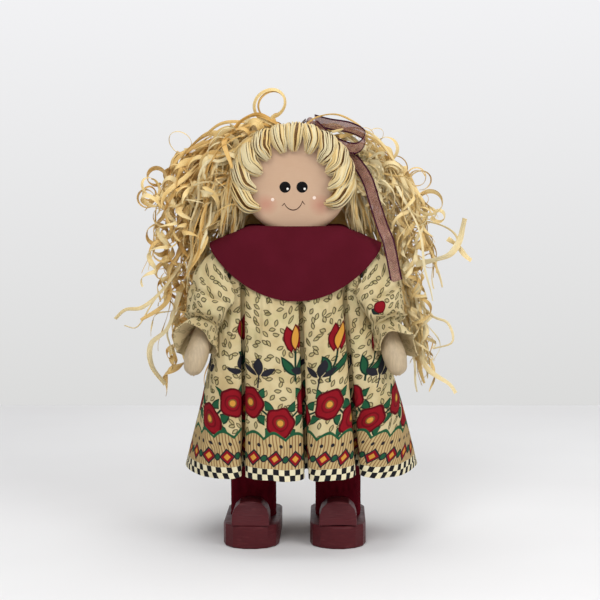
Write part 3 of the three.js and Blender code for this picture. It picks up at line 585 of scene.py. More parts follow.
def leaf(x, y, length, width):
    """Below 0 inside a pointed leaf along x, from its middle."""
    return y.size() + x * x * (width / length**2) - width


def tilted(x, y, degrees):
    cos, sin = math.cos(math.radians(degrees)), math.sin(math.radians(degrees))
    return x * cos + y * sin, y * cos - x * sin


def filled(made, distance, colour, outline, edge=0.45):
    """Paints a shape, given the distance from its rim, with a thin outline."""
    made.paint(distance.ramp(0.15, -0.15), colour)
    made.paint(distance.size().ramp(edge + 0.25, edge - 0.1), outline)


def scatter(made, u, v, pitch, shift):
    """One outlined leaf at a random place and turn in each cell of a grid."""
    u, v = u + shift, v + shift * 0.6
    column, row = u.cell(pitch), v.cell(pitch)
    aside, upward, turn = made.dice([column, row])
    x = u - (column + aside * 0.5 + 0.25) * pitch
    y = v - (row + upward * 0.5 + 0.25) * pitch
    angle = turn * (2 * math.pi)
    cos, sin = angle.math("COSINE"), angle.math("SINE")
    shape = leaf(x * cos + y * sin, y * cos - x * sin, 2.9, 1.35)
    made.paint(shape.ramp(0.1, -0.4) * 0.55, MOSS)
    made.paint(shape.size().ramp(0.7, 0.25) * 0.9, OLIVE)


def garland(made, u, v, height, period=52, swing=6):
    """A vine that waves along the cloth, with a round blossom in each bend and leaves beside it."""
    wave = (u * (2 * math.pi / period)).math("SINE")
    up = wave.math("SIGN")
    x = u.wrap(period / 2, period / 4)
    y = (v - height) * up
    vine = (y - wave.size() * swing).size()
    made.paint(vine.ramp(1.3, 0.8), DEEP_GREEN)
    beside = x.size()
    for along, over, tilt, long in ((12.5, -6, -24, 8), (12, 16, 38, 7)):
        shape = leaf(*tilted(beside - along, y - over, tilt), long, long * 0.42)
        filled(made, shape, GREEN, DEEP_GREEN)
    rise = y - 7
    far = length_of(x, rise)
    petals = rise.math("ARCTAN2", x) * 5
    bloom = far - petals.math("COSINE") * 0.8 - 11.4
    filled(made, bloom, RED, DEEP_RED, 0.8)
    made.paint((far - 6.2).size().ramp(0.9, 0.3) * 0.7, DEEP_RED)
    filled(made, far - 3, GOLD, BROWN)


def sprigs(made, u, v, height, period=42, size=1.25):
    """Dark buds between two leaves."""
    x = u.wrap(period, period / 4) * (1 / size)
    y = (v - height) * (1 / size)
    bud = leaf(y - 2, x, 6, 3.6)
    wing = leaf(*tilted(x.size() - 6.5, y + 1, 28), 5.6, 2.1)
    stalk = x.size().math("MAXIMUM", (y + 6).size() - 5) - 0.6
    for shape in (bud, wing, stalk):
        made.paint(shape.ramp(0.2, -0.2), CHARCOAL)


def tulips(made, u, v, height, period=62, size=1.35):
    """Upright flowers on a stem with two leaves."""
    x = u.wrap(period) * (1 / size)
    y = (v - height) * (1 / size)
    beside = x.size()
    stem = beside.math("MAXIMUM", (y + 12).size() - 10) - 0.7
    made.paint(stem.ramp(0.2, -0.2), DEEP_GREEN)
    filled(made, leaf(*tilted(beside - 4.5, y + 13, 52), 7.5, 2.2), GREEN, DEEP_GREEN)
    filled(made, leaf(y - 3.5, beside - 3.2 - y * 0.18, 8, 3.2), RED, DEEP_RED)
    filled(made, leaf(y - 2.8, x, 7.2, 2.8), GOLD, DEEP_RED)


def hem_band(made, u, v):
    """Checks along the hem, with a striped and scalloped band over them."""
    scallop = (u * (math.pi / 18)).math("COSINE").size() * 5 + 33
    band = v - scallop
    made.paint(band.ramp(0.3, -0.3), TAN)
    stripe = u.wrap(2.8).size().ramp(0.62, 0.3)
    made.paint(stripe * band.ramp(0.3, -0.3) * 0.85, BROWN)
    made.paint(band.size().ramp(1.5, 1.0), GREEN)
    diamond = u.wrap(18).size() + (v - 17.5).size() - 6.2
    filled(made, diamond, RED, CHARCOAL, 0.8)
    made.paint((diamond + 3.4).ramp(0.3, -0.2), GOLD)
    dot = length_of(u.wrap(18, 9), v - 17.5) - 2.6
    filled(made, dot, GREEN, CHARCOAL)
    bead = length_of(u.wrap(9, 4.5), v - 28) - 1.5
    made.paint(bead.ramp(0.2, -0.2), CHARCOAL)
    check = (u.cell(4.6) + v.cell(4.6)).math("PINGPONG", 1)
    low = v.ramp(9.5, 9.1)
    made.paint(low, srgb(228, 218, 184))
    made.paint(low * check, srgb(30, 29, 33))


def print_cotton(name, border, buds=()):
    made = Finish(name, CREAM, 0.9, specular_ior_level=0.1)
    u, v, outside = made.attribute("flat")
    cloud = made.noise([u, v], scale=0.045, detail=4)
    made.paint(cloud.ramp(0.42, 0.66) * 0.8, TAN)
    moss = made.noise([u + 90, v - 40], scale=0.06, detail=3)
    made.paint(moss.ramp(0.52, 0.72) * 0.6, SAGE)
    scatter(made, u, v, 9.5, 0)
    scatter(made, u, v, 11, 4.7)
    if border:
        tulips(made, u, v, 110)
        sprigs(made, u, v, 88)
        garland(made, u, v, 54)
        hem_band(made, u, v)
    for across, down in buds:
        far = length_of(u - across, v - down)
        leaf_shape = leaf(*tilted(u - across + 4.5, v - down - 2.5, 55), 4.2, 1.6)
        filled(made, leaf_shape, DEEP_GREEN, CHARCOAL)
        filled(made, far - 4.6, RED, DEEP_RED)
    made.paint(outside.ramp(0.6, 0.4) * 0.65, srgb(205, 184, 142))
    made.bump(weave(made, u, v), 1)
    return made.done()


def raffia():
    made = Finish("raffia", srgb(116, 80, 38), 0.5, specular_ior_level=0.25)
    # The tone on each point is the raffia's own uneven colour, with painted shade where the hair lies deep
    # and on the cores, and painted light on the right side.
    tone = made.attribute("tone")[0]
    across, along, number = made.attribute("strip")
    grain = made.noise([across * 3.5, along * 0.03, number * 7.3], detail=3)
    blotch = made.noise([across * 0.5, along * 0.045, number * 3.1])
    shade = tone + (grain - 0.5) * 0.35 + (blotch - 0.5) * 0.5
    made.paint(shade.ramp(0.0, 0.35), srgb(208, 160, 82))
    made.paint(shade.ramp(0.3, 0.7), srgb(228, 199, 136))
    made.paint(shade.ramp(0.7, 1.05), srgb(227, 213, 172))
    made.rough(grain.ramp(0.2, 0.8) * 0.2 + 0.4)
    made.bump(grain + (across * 9).math("SINE") * 0.25, 0.16)
    return made.done()


def organza():
    made = Finish("organza", srgb(160, 114, 103), 0.4, alpha=0.58, specular_ior_level=0.25)
    u, v, _ = made.attribute("flat")
    moire = made.noise([u * 0.15, v * 0.08], detail=3)
    made.paint(moire.ramp(0.4, 0.65) * 0.75, srgb(122, 80, 70))
    threads = made.noise([u * 0.2, v * 3.0])
    made.paint(threads.ramp(0.5, 0.7) * 0.3, srgb(192, 154, 148))
    made.bump((v * 9).math("SINE"), 0.05)
    return made.done()


def ribbon_edge():
    made = Finish("ribbon_edge", srgb(58, 14, 38), 0.6, specular_ior_level=0.1)
    v = made.attribute("flat")[1]
    stitch = (v * 5).math("SINE")
    made.paint(stitch.ramp(0.2, 0.9) * 0.4, srgb(76, 24, 52))
    made.bump(stitch, 0.15)
    return made.done()


PINE = pine()
STEEL = steel()
FACE_PAINT = face_paint()
EYE_PAINT = plain_paint("eye_paint", srgb(14, 12, 13), 0.3)
WHITE_PAINT = plain_paint("white_paint", srgb(246, 242, 236), 0.4)
PINK_PAINT = plain_paint("pink_paint", srgb(244, 224, 210), 0.4)
LINE_PAINT = plain_paint("line_paint", srgb(62, 36, 26), 0.5)
HAND_PAINT = hand_paint()
SHOE_PAINT = shoe_paint()
VELVET = velvet()
BURGUNDY = burgundy()
DRESS_PRINT = print_cotton("dress_print", border=True)
SLEEVE_PRINT = {
    "left": print_cotton("sleeve_print_left", border=False, buds=[(30, 88)]),
    "right": print_cotton("sleeve_print_right", border=False, buds=[(-4, 48)]),
}
RAFFIA = raffia()
ORGANZA = organza()
RIBBON_EDGES = ribbon_edge()

NODE_FINISHES = {
    PINE: ["torso_block", "neck_dowel", "leg_left", "leg_right", "hip_dowel_left", "hip_dowel_right",
           "arm_left", "arm_right"],
    STEEL: ["shoe_screw_left", "shoe_screw_right", "shoulder_screw_left", "shoulder_screw_right",
            "shoulder_washer_left", "shoulder_washer_right"],
}
for finish, names in NODE_FINISHES.items():
    for name in names:
        node = frame["nodes"][name]
        node.data.materials.clear()
        node.data.materials.append(finish)


# Meshes

def piece(name, points, faces, materials, body=DOLL, replaces=(), slot=None, sharp=None, which=None,
          **values):
    """A piece of the doll from points and faces, with values on its points that materials read."""
    mesh = bpy.data.meshes.new(name)
    mesh.from_pydata((np.asarray(points) * MM).tolist(), [], [tuple(map(int, face)) for face in faces])
    shell = bmesh.new()
    shell.from_mesh(mesh)
    bmesh.ops.recalc_face_normals(shell, faces=shell.faces)
    shell.to_mesh(mesh)
    shell.free()
    for material in materials:
        mesh.materials.append(material)
    if which is not None:
        mesh.polygons.foreach_set("material_index", np.asarray(which, np.int32))
    for key, numbers in values.items():
        numbers = np.asarray(numbers, np.float32)
        layer = mesh.attributes.new(key, "FLOAT_VECTOR", "POINT")
        layer.data.foreach_set("vector", numbers.ravel())
    mesh.shade_smooth()
    if sharp:
        mesh.set_sharp_from_angle(angle=math.radians(sharp))
    made = bpy.data.objects.new(name, mesh)
    bpy.context.scene.collection.objects.link(made)
    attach(made, body)
    if replaces:
        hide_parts(*replaces)
    return made


def ring_sides(index):
    """Faces between each ring of points and the next, from the points' numbers."""
    after = np.roll(index, -1, axis=1)
    return np.stack([index[:-1], after[:-1], after[1:], index[1:]], axis=-1).reshape(-1, 4)


def loft(rings):
    """Points and faces of a solid through a stack of rings."""
    rings = np.asarray(rings, float)
    levels, count = rings.shape[:2]
    index = np.arange(levels * count).reshape(levels, count)
    faces = [*ring_sides(index).tolist(), index[0][::-1].tolist(), index[-1].tolist()]
    return rings.reshape(-1, 3), faces


def lathe(profile, count):
    """Rings round Z from a list of (radius, height)."""
    angles = round_turn(count)
    ring = np.column_stack([np.cos(angles), np.sin(angles), np.zeros(count)])
    return np.array([ring * [radius, radius, 1] + [0, 0, height] for radius, height in profile])


def sheet_faces(rows, columns, closed):
    """Faces of a thin closed sheet: an outer grid, an inner grid after it, and the rims."""
    index = np.arange(rows * columns).reshape(rows, columns)
    under = rows * columns
    before = index if closed else index[:, :-1]
    after = np.roll(index, -1, axis=1) if closed else index[:, 1:]
    outer = np.stack([before[:-1], after[:-1], after[1:], before[1:]], axis=-1).reshape(-1, 4)
    rims = []
    for row in (0, -1):
        first, second = before[row], after[row]
        rims.append(np.stack([first, second, second + under, first + under], axis=-1))
    if not closed:
        for column in (0, -1):
            first, second = index[:-1, column], index[1:, column]
            rims.append(np.stack([first, second, second + under, first + under], axis=-1))
    return np.concatenate([outer, outer + under, *rims])


def cloth(name, outer, flat, thickness, material, closed=False, **more):
    """A thin sheet of cloth under a grid of points, with each point's place in the flat cloth."""
    rows, columns = outer.shape[:2]
    along = np.gradient(outer, axis=0)
    across = np.roll(outer, -1, 1) - np.roll(outer, 1, 1) if closed else np.gradient(outer, axis=1)
    normals = unit(np.cross(across, along))
    edge = outer[-1] - outer[-1].mean(axis=0)
    if (edge * normals[-1]).sum() < 0:
        normals = -normals
    inner = outer - normals * thickness
    points = np.concatenate([outer.reshape(-1, 3), inner.reshape(-1, 3)])
    sides = np.r_[np.ones(rows * columns), np.zeros(rows * columns)]
    places = np.column_stack([np.tile(flat.reshape(-1, 2), (2, 1)), sides])
    faces = sheet_faces(rows, columns, closed)
    return piece(name, points, faces, [material], sharp=60, flat=places, **more)


def row_runs(grid, axis):
    """Length along a grid's rows or columns, from their start."""
    steps = np.linalg.norm(np.diff(grid, axis=axis), axis=-1)
    start = np.zeros_like(np.take(steps, [0], axis=axis))
    return np.cumsum(np.concatenate([start, steps], axis=axis), axis=axis)


def across_joint(made, start, end):
    """Lets go of the body that a piece rides on, and leaves the piece where it is."""
    made.parent = None
    del made["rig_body"]
    tuple(start * MM)
    tuple(end * MM)
    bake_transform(made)


# Head and face, with places sideways and upwards from the middle of the head

HEAD_EDGE = 7
AXIS = 0.01
PAINT_SUNK = 0.4
EYES = {"left": (-8.5, -4.9), "right": (5.4, -4.9)}
EYE_RADIUS, EYE_PROUD = 4.6, 0.35
GLINT = (2.05, -1.4)
GLINT_RADIUS, GLINT_PROUD = 1.05, 0.55
CHEEK_DOTS = {"left": (-18.7, -15.1), "right": (15.4, -13.6)}
DOT_RADIUS, DOT_PROUD = 1.4, 0.3
SMILE = [
    (-9.2, -17.9), (-7.5, -20.8), (-4.8, -22.9), (-1.7, -23.6), (1.5, -22.6), (4.1, -20.0), (5.9, -16.1),
]
SMILE_ENDS = {
    "left": [(-11.2, -20.4), (-10.1, -19.3), (-9.0, -17.9)],
    "right": [(5.7, -16.0), (6.6, -17.9), (7.9, -19.1)],
}
SMILE_BRUSH, SMILE_END_BRUSH = 0.42, 0.32


def head_piece():
    """A disc with a rounded rim that stands on its edge, flat under the chin."""
    half = -HEAD_FRONT
    rim = HEAD_RADIUS - HEAD_EDGE
    profile = [(radius, -half) for radius in np.linspace(AXIS, rim, 8)]
    for start, middle in ((-90, HEAD_EDGE - half), (0, half - HEAD_EDGE)):
        for turn in np.radians(np.linspace(start, start + 90, 9)):
            profile.append((rim + HEAD_EDGE * math.cos(turn), middle + HEAD_EDGE * math.sin(turn)))
    profile += [(radius, half) for radius in np.linspace(rim, AXIS, 8)]
    rings = turned(lathe(profile, 128), "X", 90)
    rings[..., 1] *= -1
    rings[..., 2] = np.maximum(rings[..., 2] + HEAD_Z, CHIN_Z)
    points, faces = loft(rings)
    piece("head_painted", points, faces, [FACE_PAINT], replaces=["head"], slot="face_paint", sharp=50)


def paint_spot(name, across, up, radius, proud, material):
    """A low dome of paint on the face."""
    profile = [
        (AXIS, -PAINT_SUNK), (radius, -PAINT_SUNK), (radius, 0.02),
        (radius * 0.94, proud * 0.55), (radius * 0.6, proud * 0.9), (AXIS, proud),
    ]
    rings = turned(lathe(profile, 32), "X", 90)
    points, faces = loft(rings + [across, HEAD_FRONT, HEAD_Z + up])
    piece(name, points, faces, [material])


def paint_line(name, places, radius):
    """A thin brushed line on the face, finest at its ends."""
    centres = spline([(across, HEAD_FRONT, HEAD_Z + up) for across, up in places], 36)
    tangents, normals = carried(centres, (0, -1, 0))
    sides = np.cross(tangents, normals)
    swell = radius * (0.55 + 0.45 * np.sin(np.linspace(0, np.pi, len(centres))))
    rings = []
    for turn in round_turn(10):
        rings.append(centres + (normals * math.cos(turn) * 0.7 + sides * math.sin(turn)) * swell[:, None])
    points, faces = loft(np.stack(rings, axis=1))
    piece(name, points, faces, [LINE_PAINT])


def face():
    """The painted eyes, cheek dots and smile."""
    for side in SIDES:
        across, up = EYES[side]
        glint = across + GLINT[0], up + GLINT[1]
        paint_spot(f"eye_{side}", across, up, EYE_RADIUS, EYE_PROUD, EYE_PAINT)
        paint_spot(f"eye_glint_{side}", *glint, GLINT_RADIUS, GLINT_PROUD, WHITE_PAINT)
        paint_spot(f"cheek_dot_{side}", *CHEEK_DOTS[side], DOT_RADIUS, DOT_PROUD, PINK_PAINT)
        paint_line(f"smile_end_{side}", SMILE_ENDS[side], SMILE_END_BRUSH)
    paint_line("smile", SMILE, SMILE_BRUSH)


# Shoes, stockings and hands

def shoe_placed(points, side):
    """Points in a shoe's own frame, moved under its leg."""
    sign = SIDES[side]
    made = turned(np.asarray(points, float) - [0, SOLE_SETBACK, 0], "Z", sign * SHOE_TURN[side])
    return made + [sign * LEG_X, 0, 0]


def sole_outline(inset):
    """The sole from below: an arc round the toe and a flatter one round the heel."""
    half = SOLE_WIDTH / 2
    toe, heel = SOLE_WIDTH * SOLE_TOE_ROUND, SOLE_WIDTH * SOLE_HEEL_ROUND
    front, back = -SOLE_LENGTH / 2 + toe, SOLE_LENGTH / 2 - heel
    points = []
    for start, middle, depth in ((180, front, toe), (0, back, heel)):
        for turn in np.radians(np.linspace(start, start + 180, 8)):
            points.append((half * math.cos(turn), middle + depth * math.sin(turn)))
    shrink = np.array([1 - inset / half, 1 - 2 * inset / SOLE_LENGTH])
    return np.array(points) * shrink


def sole_piece(side):
    """A sawn block with eased edges and faint saw marks."""
    levels = [(SOLE_ROUND, 0), (0.4, 0.35), (0, SOLE_ROUND)]
    levels += [(0, height) for height in np.linspace(4, SOLE_TOP - 3, 4)]
    levels += [(0, SOLE_TOP - SOLE_ROUND), (0.4, SOLE_TOP - 0.4), (SOLE_ROUND, SOLE_TOP)]
    rings = []
    for inset, height in levels:
        outline = sole_outline(inset)
        rings.append(np.column_stack([outline, np.full(len(outline), height)]))
    rings = np.array(rings)
    saw = SAW_MARKS * np.sin(rings[..., 0] * 0.5 + rings[..., 2] * 0.35 + SHOE_TURN[side])
    rings[..., 1] += saw * np.sign(rings[..., 1])
    points, faces = loft(rings)
    piece(f"sole_painted_{side}", shoe_placed(points, side), faces, [SHOE_PAINT], sharp=22,
          replaces=[f"sole_{side}"], slot="shoe_paint")


def toe_piece(side):
    """An arched block with a sloped front, a little chipped below on the right shoe."""
    half = TOE_WIDTH / 2
    tall = TOE_TOP - SOLE_TOP
    front = -SOLE_LENGTH / 2 + TOE_FRONT_MARGIN
    back = SOLE_SETBACK - (STOCKING_HIGH[0] - LEG_X) - TOE_GAP
    rise = [(1, 0), (0.98, 0.42), (0.86, 0.7), (0.58, 0.92), (0.2, 1)]
    arch = [(half * across, tall * up) for across, up in rise]
    arch += [(-half * across, tall * up) for across, up in rise[::-1]]
    arch += [(-half * 0.5, 0), (0, 0), (half * 0.5, 0)]
    outline = np.array(arch)
    middle = np.array([0, tall * 0.45])
    rings = []
    for share, depth in ((0.94, 0.0), (0.985, 0.25), (1.0, 0.9)):
        ring = middle + (outline - middle) * share
        ring[:, 1] = np.maximum(ring[:, 1], 0)
        rings.append(np.column_stack([ring[:, 0], front + TOE_SLOPE * ring[:, 1] + depth, ring[:, 1]]))
    rings.append(np.column_stack([outline[:, 0], np.full(len(outline), back), outline[:, 1]]))
    chip = np.zeros(len(outline))
    chip[-3:] = (0.5, 1.0, 0.9) if side == "right" else 0.15
    for ring in rings[:3]:
        ring[:, 2] = np.maximum(ring[:, 2], chip)
    points, faces = loft(rings)
    points[:, 2] += SOLE_TOP + TOE_LIFT
    piece(f"toe_painted_{side}", shoe_placed(points, side), faces, [SHOE_PAINT], sharp=24,
          replaces=[f"toe_block_{side}"], slot="shoe_paint")


def stocking_piece(side):
    """A velvet tube that wrinkles a little where it meets the shoe."""
    rows, columns = 44, 72
    outer = STOCKING_HIGH[0] - LEG_X
    heights = np.linspace(STOCKING_HIGH[2], STOCKING_LOW[2] + 0.1, rows)
    sign = SIDES[side]
    height, angle = np.meshgrid(heights, round_turn(columns), indexing="ij")
    low = np.exp(-(height - STOCKING_LOW[2]) / STOCKING_WRINKLE_FADE)
    wrinkle = np.sin(height * 1.1 + 1.6 * np.sin(2 * angle + sign)) * STOCKING_WRINKLE * low
    sag = STOCKING_SAG * np.sin(3 * angle + height * 0.05)
    radius = outer + wrinkle + sag
    grid = np.stack([radius * np.cos(angle) + sign * LEG_X, radius * np.sin(angle), height], axis=-1)
    flat = np.stack([angle * outer, height], axis=-1)
    made = cloth(f"stocking_velvet_{side}", grid, flat, STOCKING_CLOTH, VELVET, closed=True,
                 replaces=[f"stocking_{side}"], slot="velvet")
    around = 2 * math.pi * outer * MM


def arm_placed(points, side):
    """Points in the arm's frame, with X outwards and the arm down -Z, moved to the shoulder."""
    made = turned(points, "X", -ARM_LEAN)
    made[..., 0] *= SIDES[side]
    return made + [SIDES[side] * SHOULDER_X, SHOULDER_Y, SHOULDER_Z]


def arm_point(reach):
    """The middle of the arm, a way down from the shoulder: straight at first, then outwards."""
    below = max(0, reach - ARM_STRAIGHT)
    return np.array([below * math.tan(math.radians(ARM_SPREAD)), 0, -reach])


# Shares of the hand's radius and length, from its neck to near its tip
HAND_SHAPE = [(0.88, 0.3), (1, 0.62), (0.72, 0.9)]


def hand_piece(side):
    """A turned paddle, slightly flat, on the end of the arm."""
    middle = [(HAND_RADIUS * across, HAND_LENGTH * down, 0) for across, down in HAND_SHAPE]
    outline = spline([(HAND_NECK, 0, 0), *middle, (HAND_TIP, HAND_LENGTH, 0)], 30)
    profile = [(HAND_TIP, 0), *[(max(radius, HAND_TIP), -down) for radius, down, _ in outline]]
    egg = lathe(profile, 56) * [HAND_SLIMNESS, HAND_FLATNESS, 1]
    egg = turned(egg, "Y", -ARM_SPREAD) + arm_point(WRIST_REACH)
    points, faces = loft(arm_placed(egg, side))
    piece(f"hand_painted_{side}", points, faces, [HAND_PAINT], body=ARM[side], sharp=60,
          replaces=[f"hand_{side}"], slot="hand_wood")


# Clothes

# Rings over the shoulder: how many, the turn from each to the next, and how the inner end moves
CAP_RINGS = 5
CAP_TURN = 20
CAP_STEP = np.array([0.35, 0, -0.9])
CAP_DEPTH = 0.95

# Shares of the way down the sleeve: the middle of a form and how far it spreads
GATHER_SPAN = (0.66, 0.06)
PUFF_SPAN = (0.5, 0.13)
OVERHANG_SPAN = (0.585, 0.045)
LOBE_SPAN = (0.36, 0.25)
FLARE_START = 0.68

# Ripples in a sleeve: where they lie, their size, waves round the arm and down it, and their shift
SLEEVE_RIPPLES = [
    ("gather", 0.09, 13, 0, 1), ("flare", 0.13, 5, 0, 2), ("puff", 0.075, 6, 9, 1),
    ("puff", 0.05, 7, -17, 1), ("below", 0.024, 11, 23, 2),
]
PUFF_FRONT = (0.3, math.radians(235))
CREASE_DEPTH = 0.17
CUFF_WAVE = 2.2


def sleeve_stations():
    """Inner and outer end and depth of each ring down the sleeve, in the arm's frame."""
    rings = []
    for step in range(CAP_RINGS):
        share = step / (CAP_RINGS - 1)
        turn = math.radians(step * CAP_TURN)
        inner = np.array([ARMHOLE_X, 0, -ARMHOLE_RADIUS]) + CAP_STEP * step
        across = mix(2 * ARMHOLE_RADIUS, PUFF_WIDTH, share)
        outer = inner + np.array([math.sin(turn), 0, math.cos(turn)]) * across
        rings.append((inner, outer, mix(2 * ARMHOLE_RADIUS, PUFF_DEPTH * CAP_DEPTH, share)))

    def level(reach, width, depth, outset=0.0):
        middle = arm_point(reach) + np.array([outset, 0, 0])
        half = np.array([width / 2, 0, 0])
        rings.append((middle - half, middle + half, depth))

    for above in PUFF_FULL:
        level(PUFF_LENGTH - above, PUFF_WIDTH, PUFF_DEPTH, PUFF_OUTSET)
    drawn_in = mix(PUFF_WIDTH, WRIST_WIDTH, 0.5), mix(PUFF_DEPTH, WRIST_DEPTH, 0.4)
    level(PUFF_LENGTH - GATHER_HALF, *drawn_in, PUFF_OUTSET / 2)
    level(PUFF_LENGTH + GATHER_HALF, WRIST_WIDTH, WRIST_DEPTH)
    for share in (0.33, 0.67, 1.0):
        spread = share**0.8
        width, depth = mix(WRIST_WIDTH, RUFFLE_WIDTH, spread), mix(WRIST_DEPTH, RUFFLE_DEPTH, spread)
        level(PUFF_LENGTH + GATHER_HALF + RUFFLE_LENGTH * share, width, depth, RUFFLE_OUTSET * share)
    return rings


def sleeve_piece(side):
    """A puffed sleeve with creases, gathered at the wrist, that flares into a wavy ruffle."""
    rows, columns = 84, 120
    stations = sleeve_stations()
    inner = spline([ring[0] for ring in stations], rows)
    outer = spline([ring[1] for ring in stations], rows)
    steps = np.linspace(0, 1, rows)
    depth = np.interp(steps, np.linspace(0, 1, len(stations)), [ring[2] for ring in stations])
    turn, share = round_turn(columns)[None, :], steps[:, None]
    phase = 1.0 + 2 * SIDES[side]
    zones = {
        "gather": bell(share, *GATHER_SPAN),
        "flare": clamp01((share - FLARE_START) / (1 - FLARE_START)),
        "puff": bell(share, *PUFF_SPAN),
        "below": smoothstep(share * 4),
    }
    forward, facing = PUFF_FRONT
    swell = 1 + forward * zones["puff"] * np.maximum(0, np.cos(turn - facing))
    for zone, size, around, along, shift in SLEEVE_RIPPLES:
        swell = swell + size * zones[zone] * np.sin(around * turn + along * share + shift * phase)
    crease = bell(share, 0.43 + 0.07 * np.cos(turn + 2.2), 0.022)
    swell = swell - CREASE_DEPTH * crease * smoothstep(0.35 - np.sin(turn))
    middle, half = ((inner + outer) / 2)[:, None], ((outer - inner) / 2)[:, None]
    grid = middle + half * (np.cos(turn) * swell)[..., None]
    grid[..., 1] += 0.5 * depth[:, None] * np.sin(turn) * swell
    flare = zones["flare"]
    front = clamp01(-np.sin(turn - 0.25)) ** 1.5
    grid[..., 1] -= CUFF_FORWARD * flare * front
    grid[..., 2] += CUFF_WAVE * flare * np.sin(4 * turn + phase) + CUFF_RAISED[side] * flare**0.8 * front
    grid[..., 2] -= PUFF_OVERHANG * bell(share, *OVERHANG_SPAN) * (0.55 + 0.45 * np.cos(turn + 0.6))
    lobe = bell(share, *LOBE_SPAN) * bell(turn, math.radians(240), 0.62)
    grid = grid - lobe[..., None] * [LOBE_INWARD, LOBE_FORWARD, 0]
    grid = arm_placed(grid, side)
    seam = columns // 4
    around = row_runs(np.roll(grid, -seam, axis=1), 1)
    around = np.roll(around - around[:, [columns // 2]], seam, axis=1)
    flat = np.stack([around, row_runs(grid, 0)], axis=-1)
    made = cloth(f"sleeve_cotton_{side}", grid, flat, SLEEVE_CLOTH, SLEEVE_PRINT[side], closed=True,
                 body=ARM[side], replaces=[f"sleeve_{side}"], slot="print")
    top, low = arm_placed(np.array([arm_point(SLEEVE_SEWN), arm_point(SLEEVE_FREE)]), side)
    across_joint(made, top, low)


def dress_row(level, facing, folds, counts):
    """One row of points across a panel of the dress, at a share of the way from yoke to hem."""
    bare = mix(YOKE_Z, HEM_Z, level)
    flare = float(clamp01((ARMPIT_Z - bare) / (ARMPIT_Z - HEM_Z)))
    yoke = float(clamp01((YOKE_Z - bare) / (YOKE_Z - ARMPIT_Z)))
    half_width = mix(ARMPIT_HALF_WIDTH, HEM_HALF_WIDTH, flare**SKIRT_BELL)
    half_depth = mix(mix(YOKE_HALF_DEPTH, ARMPIT_HALF_DEPTH, yoke), HEM_HALF_DEPTH, flare**SKIRT_DEPTH_BELL)
    boxiness = mix(mix(YOKE_BOXINESS, ARMPIT_BOXINESS, yoke), HEM_BOXINESS, flare**0.4)
    reach = mix(YOKE_HALF_WIDTH, half_width, float(smoothstep(yoke)))
    x = reach * np.sin(np.radians(np.linspace(-90, 90, DRESS_FINENESS)))
    inside = np.maximum(0, 1 - np.abs(x / half_width) ** boxiness)
    y = half_depth * inside ** (1 / boxiness)
    seam = clamp01(y / (SEAM_WIDTH * half_depth))
    fold = np.zeros_like(x)
    pinch = np.zeros_like(x)
    centres = []
    for top, hem in folds:
        centre = mix(top, hem, flare)
        centres.append(centre)
        offset = (x - centre) / (FOLD_WIDTH * mix(*FOLD_NARROWING, flare))
        fold = np.maximum(fold, np.exp(-np.abs(offset) ** 2.6))
        pinch += np.sign(offset) * bell(np.abs(offset), 1.2, 0.4)
    depth = mix(YOKE_FOLD_DEPTH * yoke, FOLD_DEPTH, flare)
    edges = [-reach, *centres, reach]
    share = np.interp(x, edges, np.arange(len(edges))) % 1
    flute = FLUTE * mix(0.4 * yoke, 1, flare) * np.sin(np.pi * share)
    gathers = GATHER_SIZE * yoke * (1 - flare) ** 3 * np.sin(x * 0.95 + np.sin(x * 0.21) * 2)
    slow, quick = SKIRT_DRIFT
    drift = slow * flare * np.sin(x * 0.115 + facing) + quick * flare * np.sin(x * 0.27 + 4 * level)
    crumple = np.sin(x * 0.21 + 13 * level + facing) * np.sin(17 * level + 0.07 * x)
    crumple = crumple + 0.6 * np.sin(x * 0.37 - 19 * level) * np.sin(29 * level + 0.11 * x + facing)
    drift = drift + FOLD_CRUMPLE * smoothstep(level * 3) * crumple
    y = np.maximum(y - (depth * fold - gathers - flute - drift * (1 - fold)) * seam, PANEL_GAP)
    hem = HEM_WAVE * level**8 * np.sin(x * 0.09 + 2 * facing)
    z = bare + FOLD_LIFT * fold * seam * level**6 + hem * seam
    lean = SKIRT_LEAN * smoothstep(flare * 1.4) * (x / half_width) ** 4
    line = np.column_stack([x - FOLD_PINCH * yoke * seam * pinch + lean, facing * y, z])
    cuts = np.searchsorted(x, edges)
    cuts[-1] = len(x) - 1
    parts = []
    for first, last, count in zip(cuts, cuts[1:], counts):
        parts.append(resampled(line[first:last + 1], count + 1)[:-1])
    return np.vstack([*parts, line[-1:]])


def dress_piece(name, node, facing, folds, counts):
    """A gathered panel, closer woven in points over the yoke than down the skirt."""
    levels = np.r_[np.linspace(0, YOKE_SHARE, 16, endpoint=False), np.linspace(YOKE_SHARE, 1, 60)]
    grid = np.array([dress_row(level, facing, folds, counts) for level in levels])
    run = row_runs(grid, 1)
    middle = np.array([np.interp(0, row[:, 0], along) for row, along in zip(grid, run)])
    down = row_runs(grid, 0)
    flat = np.stack([run - middle[:, None], down[-1] - down], axis=-1)
    made = cloth(name, grid, flat, DRESS_CLOTH, DRESS_PRINT, replaces=[node], slot="print")


